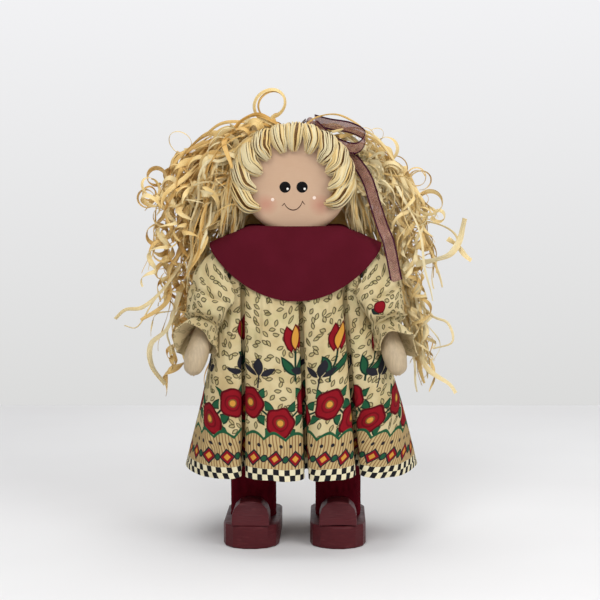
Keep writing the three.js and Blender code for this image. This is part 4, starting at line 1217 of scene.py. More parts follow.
def collar_piece():
    """A stand that rolls over into a round cape, with slack in its edge."""
    columns, rows = 180, 40
    turn = round_turn(columns)
    c, s = np.cos(turn), np.sin(turn)
    broad, close = COLLAR_SLACK
    grid = []

    def row(share, height):
        spread = math.sin(share * math.pi / 2) ** 0.85
        round_fall = 1 - math.cos(share * math.pi / 2)
        x = mix(NECK_HALF_WIDTH * c, COLLAR_HALF_WIDTH * c, spread)
        y = mix(NECK_HALF_DEPTH * s, COLLAR_HALF_DEPTH * np.sign(s) * np.abs(s) ** 0.6, spread)
        fall = mix(spread, round_fall, clamp01(1.8 * np.abs(s)))
        lowness = s * s + COLLAR_CORNER * np.abs(s) * (1 - np.abs(s))
        drop = mix(COLLAR_SIDE_DROP, COLLAR_FRONT_DROP, lowness)
        slack = share**2 * np.abs(s) * (broad * np.sin(5 * turn + 0.7) + close * np.sin(9 * turn))
        away = 1 + slack / COLLAR_HALF_DEPTH
        grid.append(np.column_stack([x, y * away, height - drop * fall]))

    for height in np.linspace(TORSO_TOP + 0.3, mix(TORSO_TOP, COLLAR_ROLL_Z, 0.75), 6):
        row(0, height)
    for share in np.linspace(0.06, 1, rows):
        row(share, COLLAR_ROLL_Z - 1.2 * (1 - clamp01(share * 5)))
    grid = np.array(grid)
    flat = np.stack([grid[..., 0] * (1 - 0.35 * (grid[..., 1] > 0)), row_runs(grid, 0)], axis=-1)
    made = cloth("collar_cotton", grid, flat, COLLAR_CLOTH, BURGUNDY, closed=True,
                 replaces=["collar"], slot="burgundy")


# Where the ribbon runs in front, which the hair keeps behind

TAIL_TURN = np.array([76, -25, COLLAR_SIDE_Z])
TAIL_END = np.array([82, -28.5, SHOULDER_Z - 8])


def hair_place(x, y, z):
    """A place from the middle of the back of the head: sideways, backwards and up."""
    return np.array([x, HEAD_BACK + y, HEAD_Z + z])


BOW_START = 3.7


def ribbon_loop(reach, drop, depth, under, lift):
    """Places on a loop of the bow, out from the knot and back underneath."""
    start = math.copysign(BOW_START, reach)
    return [KNOT + place for place in np.array([
        [start, 0, 1.6],
        [reach * 0.35, depth * 0.4, lift],
        [reach * 0.75, depth * 0.8, 1 + drop * 0.35],
        [reach, depth, drop * 0.7],
        [reach * 0.85, depth * under * 1.1, drop * 1.25],
        [reach * 0.5, depth * under, drop * 0.95 - 1],
        [start * 1.4, depth * 0.3, -3.2],
    ])]


TAIL_PATH = [
    KNOT + [6, 2.5, -10], hair_place(28, 0, 32), hair_place(39, -0.5, 25), hair_place(50, -2.5, 15),
    hair_place(59, -10, 1), hair_place(65, -20, -18), hair_place(71, -29, -37), TAIL_TURN, TAIL_END,
]
BOW_RIGHT = ribbon_loop(45, -17, -11, 0.75, -1.5)
BOW_LEFT = ribbon_loop(-32, -16, 14, 0.6, -5)
RIBBON_LINE = np.vstack([spline(TAIL_PATH, 60), spline(BOW_RIGHT, 40)])


# Raffia

# Room that loose strands leave: behind the dress, round the sleeves, outside the collar, at the ribbon
DRESS_ROOM = 3
SLEEVE_BARS = [((60, -2, 225), (79, -20, 189), 25), ((79, -20, 189), (82, -34, 160), 23)]
COLLAR_ROOM = (77, 40)
COLLAR_EASE = 5
RIBBON_ROOM = 4.5
HEAD_ROOM = 2
HAIR_GIVE = 0.3
CLEAR_SPAN = 6

# Random seeds of the pieces
HANK_SEED, LOCK_SEED, BACK_SEED, LOOP_SEED = 100, 300, 700, 800


def dress_back_at(x, z):
    """How far back the dress reaches, with a little room."""
    flare = clamp01((ARMPIT_Z - z) / (ARMPIT_Z - HEM_Z))
    half_width = mix(ARMPIT_HALF_WIDTH, HEM_HALF_WIDTH, flare**SKIRT_BELL)
    half_depth = mix(ARMPIT_HALF_DEPTH, HEM_HALF_DEPTH, flare**SKIRT_DEPTH_BELL)
    return half_depth * np.maximum(0, 1 - np.abs(x / half_width) ** 2.4) ** 0.42 + DRESS_ROOM


def pushed_from(points, start, end, radius):
    """Points moved out of a round bar."""
    axis = end - start
    share = clamp01((points - start) @ axis / axis.dot(axis))
    away = points - (start + share[:, None] * axis)
    far = np.linalg.norm(away, axis=1, keepdims=True)
    return np.where(far < radius, points + away / np.maximum(far, 1e-6) * (radius - far), points)


def cleared(points, collar):
    """Points moved out of the sleeves, the collar, the dress, the ribbon and the head."""
    points = np.array(points, float)
    for sign in SIDES.values():
        for start, end, radius in SLEEVE_BARS:
            points = pushed_from(points, mirrored(start, sign), mirrored(end, sign), radius)
    under = smoothstep((COLLAR_ROLL_Z - points[:, 2]) / COLLAR_EASE) * collar
    inward = np.hypot(points[:, 0] / COLLAR_ROOM[0], points[:, 1] / COLLAR_ROOM[1])
    grow = np.where(inward < 1, 1 / np.maximum(inward, 0.2), 1)
    points[:, :2] *= mix(1, grow, under)[:, None]
    low = (points[:, 2] < ARMPIT_Z + 10) & (np.abs(points[:, 0]) < HEM_HALF_WIDTH)
    clear = np.maximum(points[:, 1], dress_back_at(points[:, 0], points[:, 2]))
    points[:, 1] = np.where(low & (points[:, 1] > 0), clear, points[:, 1])
    apart = np.hypot(points[:, None, 0] - RIBBON_LINE[:, 0], points[:, None, 2] - RIBBON_LINE[:, 2])
    slack = np.maximum(0, apart.min(axis=1) - RIBBON_WIDTH * 0.9)
    behind = RIBBON_LINE[apart.argmin(axis=1), 1] + RIBBON_ROOM - 2 * slack
    points[:, 1] = np.maximum(points[:, 1], behind)
    far = np.hypot(points[:, 0], points[:, 2] - HEAD_Z)
    inside = (far < HEAD_RADIUS + HEAD_ROOM) & (points[:, 1] < HEAD_BACK + 1)
    points[:, 1] = np.where(inside, HEAD_BACK + 1, points[:, 1])
    points[:, 1] = np.minimum(points[:, 1], mix(HAIR_BACK, points[:, 1], HAIR_GIVE))
    points[:, 0] = np.clip(points[:, 0], -HAIR_REACH, HAIR_REACH)
    return points


def kept_clear(points, collar=True):
    """A strand moved clear of what it passes, in one smooth sweep."""
    shift = np.pad(cleared(points, collar) - points, ((CLEAR_SPAN, CLEAR_SPAN), (0, 0)), mode="edge")
    window = np.hanning(2 * CLEAR_SPAN + 3)[1:-1]
    window = window / window.sum()
    shift = np.column_stack([np.convolve(column, window, mode="valid") for column in shift.T])
    return cleared(points + shift, collar)


class Bundle:
    """Flat strips of raffia that make one piece. Each strip is a thin closed body."""

    def __init__(self, seed, pale=0.0, slim=1.0):
        self.random = np.random.default_rng(seed)
        self.points, self.faces, self.tones, self.strips = [], [], [], []
        self.total = 0
        self.number = 0
        self.pale = pale
        self.slim = slim

    def pick(self, low, high):
        return self.random.uniform(low, high)

    def chance(self, share):
        return self.pick(0, 1) < share

    def stray(self):
        """A random step along each axis."""
        return self.random.normal(0, 1, 3)

    def wave(self, t, slowest, fastest):
        """A sine wave along a strand, of random pace and start."""
        return np.sin(t * self.pick(slowest, fastest) + self.pick(0, 6))

    def uneven(self, wide, t, taper):
        """Widths that vary along a strand and narrow to its end."""
        return wide * (0.85 + 0.15 * self.wave(t, 3, 8)) * (1 - taper * t**6)

    def width(self):
        """The width of a strip: mostly wide, sometimes split."""
        return self.pick(3.6, 7.6) if self.chance(0.7) else self.pick(1.4, 2.8)

    def solid(self, points, faces, tone):
        """Adds a body that isn't a strip, such as the core of a hank, whose dark tone is painted shade
        between the strips.
        """
        self.faces.append(np.array([face for face in faces if len(face) == 4]) + self.total)
        self.faces.extend(np.array([face]) + self.total for face in faces if len(face) != 4)
        self.points.append(points)
        self.tones.append(np.full((len(points), 3), tone))
        self.strips.append(points * 0.1)
        self.total += len(points)

    def strip(self, centres, facing, widths, tone, turns=None):
        """Adds a strip along a line. It faces one way, or a way for each point, and may be turned."""
        count = len(centres)
        widths = widths * self.slim
        if np.ndim(facing) == 1:
            tangents, normals = carried(centres, facing)
        else:
            tangents, normals = unit(np.gradient(centres, axis=0)), facing
        across = unit(np.cross(tangents, normals))
        normals = np.cross(across, tangents)
        if turns is not None:
            cos, sin = np.cos(turns)[:, None], np.sin(turns)[:, None]
            normals, across = normals * cos + across * sin, across * cos - normals * sin
        half = across * widths[:, None] / 2
        cup = normals * widths[:, None] * STRIP_CUP
        rise = normals * STRIP_THICKNESS / 2
        corners = [centres - half - cup, centres + rise, centres + half - cup, centres - rise]
        index = np.arange(count * 4).reshape(count, 4) + self.total
        self.faces += [ring_sides(index), index[:1, ::-1], index[-1:]]
        self.points.append(np.stack(corners, axis=1).reshape(-1, 3))
        self.tones.append(np.full((count * 4, 3), tone + self.pale))
        place = np.zeros((count, 4, 3))
        place[..., 0] = [-1, 0, 1, 0]
        place[..., 1] = run_along(centres)[:, None]
        place[..., 2] = self.number
        self.strips.append(place.reshape(-1, 3))
        self.total += count * 4
        self.number += 1

    def finish(self, name, replaces):
        faces = [face for group in self.faces for face in group.tolist()]
        piece(name, np.concatenate(self.points), faces, [RAFFIA], replaces=replaces, slot="raffia",
              sharp=50, tone=np.concatenate(self.tones), strip=np.concatenate(self.strips))


def polar(degrees, radius, y):
    """A place round the head's middle."""
    turn = math.radians(degrees)
    return np.array([radius * math.cos(turn), y, HEAD_Z + radius * math.sin(turn)])


# Hanks round the face

HANK_POINTS = 26
HANK_STRIPS = 22
HANK_STRAYS = 4
HANK_CORE = (0.86, 0.8)
HANK_TONES = (0.46, 0.98)
STRAY_TONES = (0.75, 1.05)


def hank_stations(rim, tip_radius, upright):
    """Share of the way, radius, depth, half width and thickness of a hank, from root to tip."""
    return np.array([
        (0.0, HEAD_RADIUS - 0.3, HEAD_BACK + 0.5, 6.8, mix(1.6, 1.1, upright)),
        (0.10, mix(rim, HEAD_RADIUS, upright) + 0.3, 2.5, 7.2, mix(2.8, 1.7, upright)),
        (0.30, rim, -6.5, 7.8, 4.2),
        (0.55, rim - 3.5, -12.2, mix(8.2, 7.6, upright), 5.8),
        (0.78, mix(tip_radius, rim, 0.58), -13.8, mix(8.4, 7.0, upright), 6.4),
        (0.93, mix(tip_radius, rim, 0.2), -13.2, mix(7.6, 5.8, upright), 5.4),
        (1.0, tip_radius - 0.4, HEAD_FRONT - 1.2, mix(5.6, 3.6, upright), 1.8),
    ])


def bang_piece(index):
    """A plump hank that comes over the rim of the head and is pinched to a tip on the face."""
    bundle = Bundle(HANK_SEED + index, pale=BANG_PALER)
    angle = BANG_LOWEST + index * BANG_PITCH
    root = 90 + (angle - 90) * BANG_ROOT_SPREAD + bundle.pick(-2, 2)
    tip = 90 + (angle - 90) * BANG_TIP_SPREAD + bundle.pick(-3, 3)
    upright = max(0, math.sin(math.radians(angle))) ** 2
    lowness = smoothstep(-math.sin(math.radians(tip)) / 0.55)
    sign = 1 if angle < 90 else -1
    tip_radius = mix(BANG_TIP_SIDE[sign], BANG_TIP_TOP, upright) + BANG_TIP_LOW * lowness
    tip_radius = tip_radius + bundle.pick(-1.5, 1.5)
    plump = bundle.pick(0.94, 1.08) * mix(1.14, 1, upright)
    rim = HEAD_RADIUS - BANG_TOP_SINK * upright + BANG_SIDE_BULGE[sign] * (1 - upright)
    stations = hank_stations(rim, tip_radius, upright)
    first, last = polar(root, stations[0, 1], 0), polar(tip, stations[-1, 1], 0)
    places = []
    for share, radius, y in stations[:, :3]:
        chord = mix(first, last, share) + [0, y, 0]
        curved = polar(mix(root, tip, share), radius, y)
        places.append(mix(curved, chord, BANG_STRAIGHT * (1 - upright)))
    spine = spline(places, HANK_POINTS)
    steps = np.linspace(0, 1, len(stations))
    t = np.linspace(0, 1, HANK_POINTS)
    half = np.interp(t, steps, stations[:, 3]) * plump
    thick = np.interp(t, steps, stations[:, 4]) * mix(1.25, 1, upright)
    tangents = unit(np.gradient(spine, axis=0))
    inward = np.array([0, 5.0, HEAD_Z]) - spine
    across = unit(np.cross(tangents, inward))
    up = unit(np.cross(tangents, across))
    up = np.where((up * inward).sum(axis=1, keepdims=True) > 0, -up, up)

    def over(place, lift, part=slice(None)):
        """A line along the hank, a share of its half width across it and a way above its middle."""
        return spine[part] + across[part] * (half[part] * place)[:, None] + up[part] * lift[:, None]

    blunt = np.sqrt(clamp01((1.02 - t) / 0.16))
    wide, tall = HANK_CORE
    rings = []
    for turn in round_turn(12):
        rings.append(over(blunt * wide * math.cos(turn), thick * blunt * tall * math.sin(turn)))
    # The core takes the darkest tone, as painted shade in the gaps between the strips.
    bundle.solid(*loft(np.stack(rings, axis=1)), 0.0)
    for k in range(HANK_STRIPS):
        side = (k + 0.5) / HANK_STRIPS * 2 - 1 + bundle.pick(-0.05, 0.05)
        around = math.radians(BANG_WRAP) * (side + 0.05 * bundle.wave(t, 3, 7))
        dome = np.cos(around)
        place = np.sin(around) * (1 - 0.22 * smoothstep((t - 0.76) / 0.26))
        lift = thick * dome + bundle.pick(0.0, 0.9) + 0.25
        facing = unit(up * (dome + 0.1)[:, None] + across * (place * 0.8)[:, None])
        widths = (0.3 + half * 0.122 * bundle.pick(0.65, 1.3)) * (1 - 0.3 * t**4)
        end = HANK_POINTS - int(round(1.4 * side**2))
        bundle.strip(over(place, lift)[:end], facing[:end], widths[:end], bundle.pick(*HANK_TONES))
    for _ in range(HANK_STRAYS):
        start, end = sorted(bundle.random.integers(3, HANK_POINTS, 2))
        if end - start < 8:
            start, end = 6, HANK_POINTS - 1
        part = slice(start, end)
        place = bundle.pick(-0.8, 0.8) + np.linspace(0, bundle.pick(-0.4, 0.4), end - start)
        dome = np.sqrt(np.maximum(0, 1 - place**2))
        centres = over(place, thick[part] * dome + 0.9, part)
        widths = np.full(end - start, bundle.pick(0.7, 1.3))
        bundle.strip(centres, up[part], widths, bundle.pick(*STRAY_TONES))
    bundle.finish(f"raffia_bang_{index + 1}", [f"bang_{index + 1}"])


# Loose hair, with places sideways from the head's middle, backwards from its back, and up

# Height, half width, front and back of the hair behind the head, from the top
BACK_HAIR = np.array([
    (40, 14, 4, 15), (33, 30, 1, 22), (20, 42, 0.4, 27), (0, 50, 0.4, 30), (-20, 54, 2, 33),
    (-36, 56, 10, 37), (-50, 57, 23, 41), (-74, 57, 27, 44), (-99, 51, 27.5, 45), (-122, 40, 29, 45),
    (-140, 22, 34, 44),
])
CORE_ROWS = 8
CORE_WIDTH = 0.78
CORE_SLIMMER = 8
# The core's tone is lower than most strands', as painted shade for the inside of the hair.
CORE_SHADE_TONE = 0.42

# Thickness of each lock, how far along it curls still leave it, and its path on the right
LOCKS = {
    "crown": (9, 0.44, [
        (44, 14, 32), (60, 17, 35), (79, 17, 27), (98, 15, 9), (112, 11, -20), (122, 7, -53),
        (129, 4, -83)]),
    "temple": (10, 0.5, [
        (46, 13, 16), (66, 10, 14), (83, 2, 4), (98, -7, -17), (106, -14, -46), (110, -17, -77),
        (115, -17, -107)]),
    "ear": (10, 0.64, [
        (51, 15, -5), (73, 14, -8), (85, 9, -21), (93, 7, -42), (101, 8, -70), (112, 9, -98),
        (138, 7, -118)]),
    "shoulder": (11, 0.72, [
        (55, 22, -28), (78, 27, -41), (88, 33, -62), (94, 36, -93), (97, 36, -124), (100, 34, -156)]),
    "nape": (9, 0.7, [
        (56, 34, -60), (71, 38, -78), (68, 41, -102), (66, 42, -130), (68, 41, -160), (71, 39, -188)]),
}
SHOULDER_PATH = [(38, 8, -4), (50, 15, -24), (61, 22, -44), (72, 28, -72), (80, 33, -100)]
LOW_PATH = [(78, 26, -58), (92, 26, -92), (101, 22, -122), (106, 17, -148), (108, 13, -178)]

# What differs from side to side: tone (paler on the right, as painted light where that side falls in
# shade), width of strips, and how many strands there are
SIDE_PAINTED_LIGHT = {-1: 0.0, 1: 0.16}
FINER = {-1: 1.0, 1: 0.74}
FANS = {-1: 80, 1: 50}
FAN_ANGLES = {-1: (-34, 58), 1: (-4, 30)}
FAN_SCALE = {-1: 1, 1: 0.82}
LOW_FALLS = {-1: 6, 1: 34}
LOCK_STRANDS = {-1: (13, 18, 9), 1: (9, 12, 9)}
CROWN_DRAWN_IN = (0.9, 8)

# How many strands there are on either side
NEAR_FALLS = 40
FAR_FALLS = 24
SHOULDER_FALLS = 28
BACK_LAYERS = (-1.5, 0.5, 2.0)
BACK_STRANDS = 44

# Single strands that stand out: path, width and tone
WISPS = [
    ([(-52, -14, 38), (-45, -16, 48), (-32, -16, 54), (-20, -14, 50), (-11, -12, 44)], 3.6, 0.35),
    ([(-50, -12, 36), (-42, -12, 45), (-31, -13, 50), (-21, -12, 47), (-13, -10, 43)], 2.6, 0.7),
    ([(-20, -8, 44), (-40, -10, 46), (-58, -12, 40), (-70, -8, 26)], 3.4, 0.8),
    ([(-14, -4, 44), (-38, -4, 48), (-60, -6, 47), (-76, -4, 36)], 2.8, 0.6),
    ([(6, -8, 44), (18, -10, 52), (34, -10, 54), (50, -9, 47), (60, -6, 38)], 1.7, 0.5),
    ([(30, -8, 40), (50, -8, 43), (68, -6, 34), (82, -4, 16)], 2.2, 0.75),
    ([(36, -4, 36), (54, -6, 38), (74, -4, 27), (86, -2, 8)], 3.2, 0.6),
    ([(-96, 6, -70), (-112, 2, -92), (-128, -2, -106), (-142, -4, -108), (-151, -2, -116)], 3.4, 0.9),
    ([(-98, 8, -78), (-118, 0, -100), (-132, -4, -122), (-143, -6, -121)], 1.3, 0.8),
    ([(-98, 14, -95), (-108, 8, -124), (-122, 4, -138), (-121, 2, -156), (-110, 4, -172)], 4.6, 0.95),
    ([(-84, 26, -110), (-96, 18, -140), (-92, 12, -158), (-86, 10, -166)], 2.0, 0.7),
    ([(84, 4, -36), (107, -6, -34), (125, -10, -39), (134, -10, -48), (131, -8, -58), (120, -4, -64),
      (100, 0, -69)], 2.2, 0.85),
    ([(100, -2, -70), (116, -8, -66), (128, -12, -61), (135, -12, -50), (138, -10, -38),
      (139.5, -10, -31)], 5.6, 0.95),
    ([(126, -8, -48), (134, -10, -54), (140, -9, -61), (146, -8, -66)], 4.4, 0.85),
    ([(92, 16, -80), (112, 8, -112), (128, 4, -120), (132, 2, -136), (116, 4, -142)], 2.2, 0.9),
    ([(88, 28, -110), (102, 20, -140), (112, 12, -160), (130, 8, -172), (136, 6, -180)], 4.6, 0.9),
]


def hair_line(places, count):
    """A smooth line through places in the loose hair."""
    return spline([hair_place(*place) for place in places], count)


def wander(bundle, count, size):
    """A smooth random way off a line, nothing at its start."""
    t = np.linspace(0, 1, count)
    offset = np.zeros((count, 3))
    for axis in range(3):
        for wave in (1, 2):
            pace = np.pi * wave * t
            offset[:, axis] += bundle.pick(-1, 1) / wave * np.sin(pace * bundle.pick(0.7, 1.3))
    return offset * (size * smoothstep(t * 2.5))[:, None]


def wound(bundle, line, radius, pitch, wide, tone, flip=0.25):
    """A strip wound round a line as curled ribbon is, with its flat side away from the line."""
    t = np.linspace(0, 1, len(line))
    tangents, first = carried(line, (bundle.pick(-1, 1), -1, 0.2))
    second = np.cross(tangents, first)
    hand = 1 if bundle.chance(0.5) else -1
    turn = bundle.pick(0, 6.28) + hand * 2 * np.pi * run_along(line) / pitch
    turn = turn + 0.7 * np.sin(t * bundle.pick(3, 6))
    radial = first * np.cos(turn)[:, None] + second * np.sin(turn)[:, None]
    reach = radius * smoothstep(t * 3.5) * (0.7 + 0.4 * bundle.wave(t, 2, 6))
    centres = kept_clear(line + radial * reach[:, None])
    widths = bundle.uneven(wide, t, 0.65)
    bundle.strip(centres, radial, widths, tone, flip * np.pi * bundle.wave(t, 2, 6))


def waved(bundle, line, wide, tone, sway=1.0, collar=True):
    """A strip that lies with its flat side mostly to the front and twists a little."""
    t = np.linspace(0, 1, len(line))
    widths = bundle.uneven(wide, t, 0.6)
    turn = run_along(line) / bundle.pick(5, 9) + bundle.pick(0, 6)
    wave = sway * bundle.pick(0.8, 3.6) * smoothstep(t * 3)
    line = line + np.column_stack([wave * np.sin(turn), wave * np.cos(turn), np.zeros(len(line))])
    spin = bundle.pick(-0.8, 0.8) + bundle.pick(0.3, 1.2) * bundle.wave(t, 3, 7)
    bundle.strip(kept_clear(line, collar), (0, -1, 0), widths, tone, spin)


def depth_shaded_tone(bundle, line):
    """A random tone, made paler in front and browner inside and behind as painted shade for the depth of
    the hair.
    """
    depth = clamp01((line[:, 1].mean() + 12) / 60)
    return mix(bundle.pick(0.5, 1.0), bundle.pick(0.25, 0.7), depth)


def long_strand(bundle, line, thick, sign):
    """A strand that follows its lock from the root, with lazy waves."""
    share = bundle.pick(0.3, 0.56) if bundle.chance(0.85) else 0.95
    count = 60
    line = resampled(line[: int(len(line) * share)], count)
    drift = bundle.stray() * thick * [0.45, 0.7, 0.6]
    line = line + drift * (0.3 + 0.7 * np.linspace(0, 1, count))[:, None]
    line = line + wander(bundle, count, thick * 0.6)
    tone = depth_shaded_tone(bundle, line)
    waved(bundle, mirrored(line, sign), bundle.width(), tone)


def curl(bundle, line, thick, sign, furthest):
    """A ringlet that leaves its lock somewhere and hangs."""
    start = int(len(line) * bundle.pick(0.0, furthest))
    steps = 100
    ahead = np.minimum(start + np.arange(steps), len(line) - 2)
    tangents = unit(line[ahead + 1] - line[ahead])
    droop = bundle.pick(0.2, 1.0) * np.linspace(0.3, 1, steps)[:, None]
    aside = bundle.stray() * [0.45, 0.7, 0.4]
    heading = unit(mix(tangents, np.array([0, 0, -1.0]) + aside, droop))
    reach = bundle.pick(30, 80)
    line = line[start] + np.cumsum(heading, axis=0) * reach / steps
    line = line + bundle.stray() * thick * [0.55, 0.8, 0.65] + wander(bundle, steps, 3)
    tone = depth_shaded_tone(bundle, line)
    if bundle.chance(0.35):
        radius, pitch = bundle.pick(4.5, 7), bundle.pick(15, 24)
    else:
        radius, pitch = bundle.pick(5, 10), bundle.pick(26, 48)
    wound(bundle, mirrored(line, sign), radius, pitch, bundle.width(), tone)


def hoop(bundle, line, thick, sign):
    """A strand that makes a wide loop away from its lock and comes back."""
    count = 64
    start = line[int(len(line) * bundle.pick(0.1, 0.58))] + bundle.stray() * 0.5 * thick
    tilt = bundle.pick(-0.9, 0.9)
    away = unit(np.array([math.cos(tilt), bundle.pick(-0.5, 0.2), math.sin(tilt)]))
    up = unit(np.cross(away, [bundle.pick(-0.8, 0.8), 0.7, bundle.pick(-0.8, 0.8)]))
    hand = 1 if bundle.chance(0.6) else -1
    turn = np.linspace(0, bundle.pick(0.8, 1.6) * 2 * np.pi, count)
    radius = bundle.pick(6, 11) * np.linspace(1, bundle.pick(0.6, 1.0), count)
    radial = up * (hand * np.sin(turn))[:, None] - away * np.cos(turn)[:, None]
    along = np.cross(away, up) * (turn * bundle.pick(-1.2, 1.2))[:, None]
    centres = start + away * radius[0] + radial * radius[:, None] + along
    widths = bundle.width() * (1 - 0.4 * np.linspace(0, 1, count) ** 5)
    spin = 0.6 * np.sin(turn * 0.7 + bundle.pick(0, 6))
    line, facing = kept_clear(mirrored(centres, sign)), mirrored(radial, sign)
    bundle.strip(line, facing, widths, depth_shaded_tone(bundle, centres), spin)


def lock_piece(name, side):
    """A curled lock of long strands, ringlets and hoops."""
    thick, furthest, places = LOCKS[name]
    sign = SIDES[side]
    bundle = Bundle(LOCK_SEED + 10 * list(LOCKS).index(name) + sign, SIDE_PAINTED_LIGHT[sign], FINER[sign])
    pull, sink = CROWN_DRAWN_IN if (name, side) == ("crown", "right") else (1, 0)
    line = hair_line([(x * pull, y, z - sink) for x, y, z in places], 200)
    long_ones, curls, hoops = LOCK_STRANDS[sign]
    for _ in range(long_ones):
        long_strand(bundle, line, thick, sign)
    for _ in range(curls):
        curl(bundle, line, thick, sign, furthest)
    for _ in range(hoops):
        hoop(bundle, line, thick, sign)
    bundle.finish(f"raffia_{name}_{side}", [f"lock_{name}_{side}"])


def back_core():
    """The inside of the hair behind the head, which its strands cover."""
    angles = round_turn(40)
    rings = []
    for height, half_width, front, back in BACK_HAIR[:CORE_ROWS]:
        x = np.cos(angles) * half_width * CORE_WIDTH
        y = np.sin(angles) * (back - front - CORE_SLIMMER) / 2
        rings.append(np.column_stack([x, y, np.zeros_like(x)]) + hair_place(0, (front + back) / 2, height))
    return loft(rings)


def back_strand(bundle, across, layer):
    """A strand that falls down the back, from the crown to near the ends."""
    count = 46
    rows = BACK_HAIR[::-1]
    stop = mix(bundle.pick(-158, -84), -74, across**4)
    start = bundle.pick(26, 40)
    bulge = math.sqrt(max(0, 1 - across**2))
    places = []
    for height in np.linspace(start, stop, 9):
        half_width, front, back = (np.interp(height, rows[:, 0], column) for column in rows[:, 1:].T)
        places.append((half_width * across, mix(front, back, 0.5 + 0.5 * bulge) + layer, height))
    line = hair_line(places, count) + wander(bundle, count, 6)
    if layer > 1 and bundle.chance(0.55):
        wide = bundle.pick(2.4, 5.4)
        radius, pitch = bundle.pick(2.5, 5), bundle.pick(26, 48)
        wound(bundle, line + [0, 2.5, 0], radius, pitch, wide, bundle.pick(0.45, 1.0), 0.15)
        return
    t = np.linspace(0, 1, count)
    sway = bundle.pick(0.8, 3.4) * smoothstep(t * 2)
    line = kept_clear(line + np.outer(sway * bundle.wave(t, 14, 30), [1, 0.5, 0]))
    wide = bundle.pick(3.2, 6) if bundle.chance(0.75) else bundle.pick(1.2, 2.4)
    widths = wide * (1 - 0.5 * t**6) * (0.85 + 0.15 * np.sin(8 * t + across))
    spin = bundle.pick(-0.7, 0.7) * np.pi * t + 0.4 * np.sin(t * bundle.pick(5, 10))
    bundle.strip(line, (across * 0.7, 1, 0.1), widths, bundle.pick(0.45, 1.0), spin)


def side_fall(bundle, sign, near):
    """A twisted strand that follows the rim behind the looped hanks and falls beside the face."""
    start = bundle.pick(-5, 85)
    out = bundle.pick(-8, 12) if near else bundle.pick(8, 40)
    low = bundle.pick(-46, -38) if near else bundle.pick(-95, -45)
    y = bundle.pick(-11, 5) if sign < 0 else bundle.pick(11, 19)
    if sign > 0 and near and bundle.chance(0.5):
        start, out, y = bundle.pick(-12, 22), bundle.pick(-9, 2), bundle.pick(-8, 8)
    stop, tuck, stray, sway = (-20, 5, 2, 0.3) if near else (5, 0, 4, 0.8)
    places = [polar(start, HEAD_RADIUS - 2, y + 4)]
    for share in (0.25, 0.5, 0.75):
        places.append(polar(mix(start, stop, share), HEAD_RADIUS + 4 + max(0, out) * share, y))
    places.append(hair_place(50 + out, y - HEAD_BACK, mix(places[-1][2] - HEAD_Z, low, 0.5)))
    places.append(hair_place(53 + out * 1.1, y - HEAD_BACK + tuck, low))
    line = spline(places, 36) + wander(bundle, 36, stray)
    wide, tone = bundle.pick(1.6, 3.8), bundle.pick(0.3, 1.1)
    waved(bundle, mirrored(line, sign), wide, tone, sway, collar=not near)


def fan_strand(bundle, sign):
    """A strand that springs out from behind the rim, droops and ends in a curl."""
    count = 58
    t = np.linspace(0, 1, count)
    angle = bundle.pick(*FAN_ANGLES[sign])
    start = polar(angle, HEAD_RADIUS - 3, bundle.pick(-5, 13))
    turn = math.radians(angle * 0.6 + bundle.pick(-24, 24))
    reach = bundle.pick(26, 66) * FAN_SCALE[sign]
    ahead = np.array([math.cos(turn), bundle.pick(-0.15, 0.15), math.sin(turn)])
    tilt = bundle.pick(0.25, 0.9)
    aside = np.array([-math.sin(turn) * (1 - tilt), -tilt, math.cos(turn) * (1 - tilt)])
    aside = unit(aside - ahead * aside.dot(ahead) / ahead.dot(ahead))
    late = clamp01((t - 0.42) / 0.58)
    wind = bundle.pick(-1.9, 1.9) * 2 * np.pi * late
    radius = bundle.pick(4, 9) * smoothstep(late * 2.5)
    line = start + ahead * (reach * (t - 0.3 * late**2))[:, None]
    line = line + ahead * (radius * np.sin(wind))[:, None] + aside * (radius * (1 - np.cos(wind)))[:, None]
    line[:, 2] -= bundle.pick(0.25, 1.0) * reach * t**2
    line = line + wander(bundle, count, 3)
    widths = bundle.width() * (0.9 + 0.1 * np.sin(t * bundle.pick(4, 9))) * (1 - 0.5 * t**7)
    spin = bundle.pick(0.2, 0.8) * bundle.wave(t, 2, 6)
    # Strands on the right are a little paler, as painted light.
    tone = bundle.pick(0.5, 1.05) + 0.06 * sign
    bundle.strip(kept_clear(mirrored(line, sign)), mirrored(aside, sign), widths, tone, spin)


def shoulder_fall(bundle, sign):
    """A strand behind the end of the collar."""
    line = hair_line(SHOULDER_PATH, 36) + bundle.stray() * [5, 3, 6] + wander(bundle, 36, 3)
    waved(bundle, mirrored(line, sign), bundle.pick(1.6, 4.0), bundle.pick(0.3, 1.0), 0.4)


def low_fall(bundle, sign):
    """A strand that hangs behind the sleeve to the skirt."""
    line = hair_line(LOW_PATH, 64)[: bundle.random.integers(40, 64)]
    line = line + bundle.stray() * [6, 4, 7] + wander(bundle, len(line), 4)
    line = mirrored(line, sign)
    if bundle.chance(0.55):
        waved(bundle, line, bundle.width(), bundle.pick(0.45, 1.0))
    else:
        radius, pitch = bundle.pick(3, 6.5), bundle.pick(24, 42)
        wound(bundle, line, radius, pitch, bundle.width(), bundle.pick(0.5, 1.0))


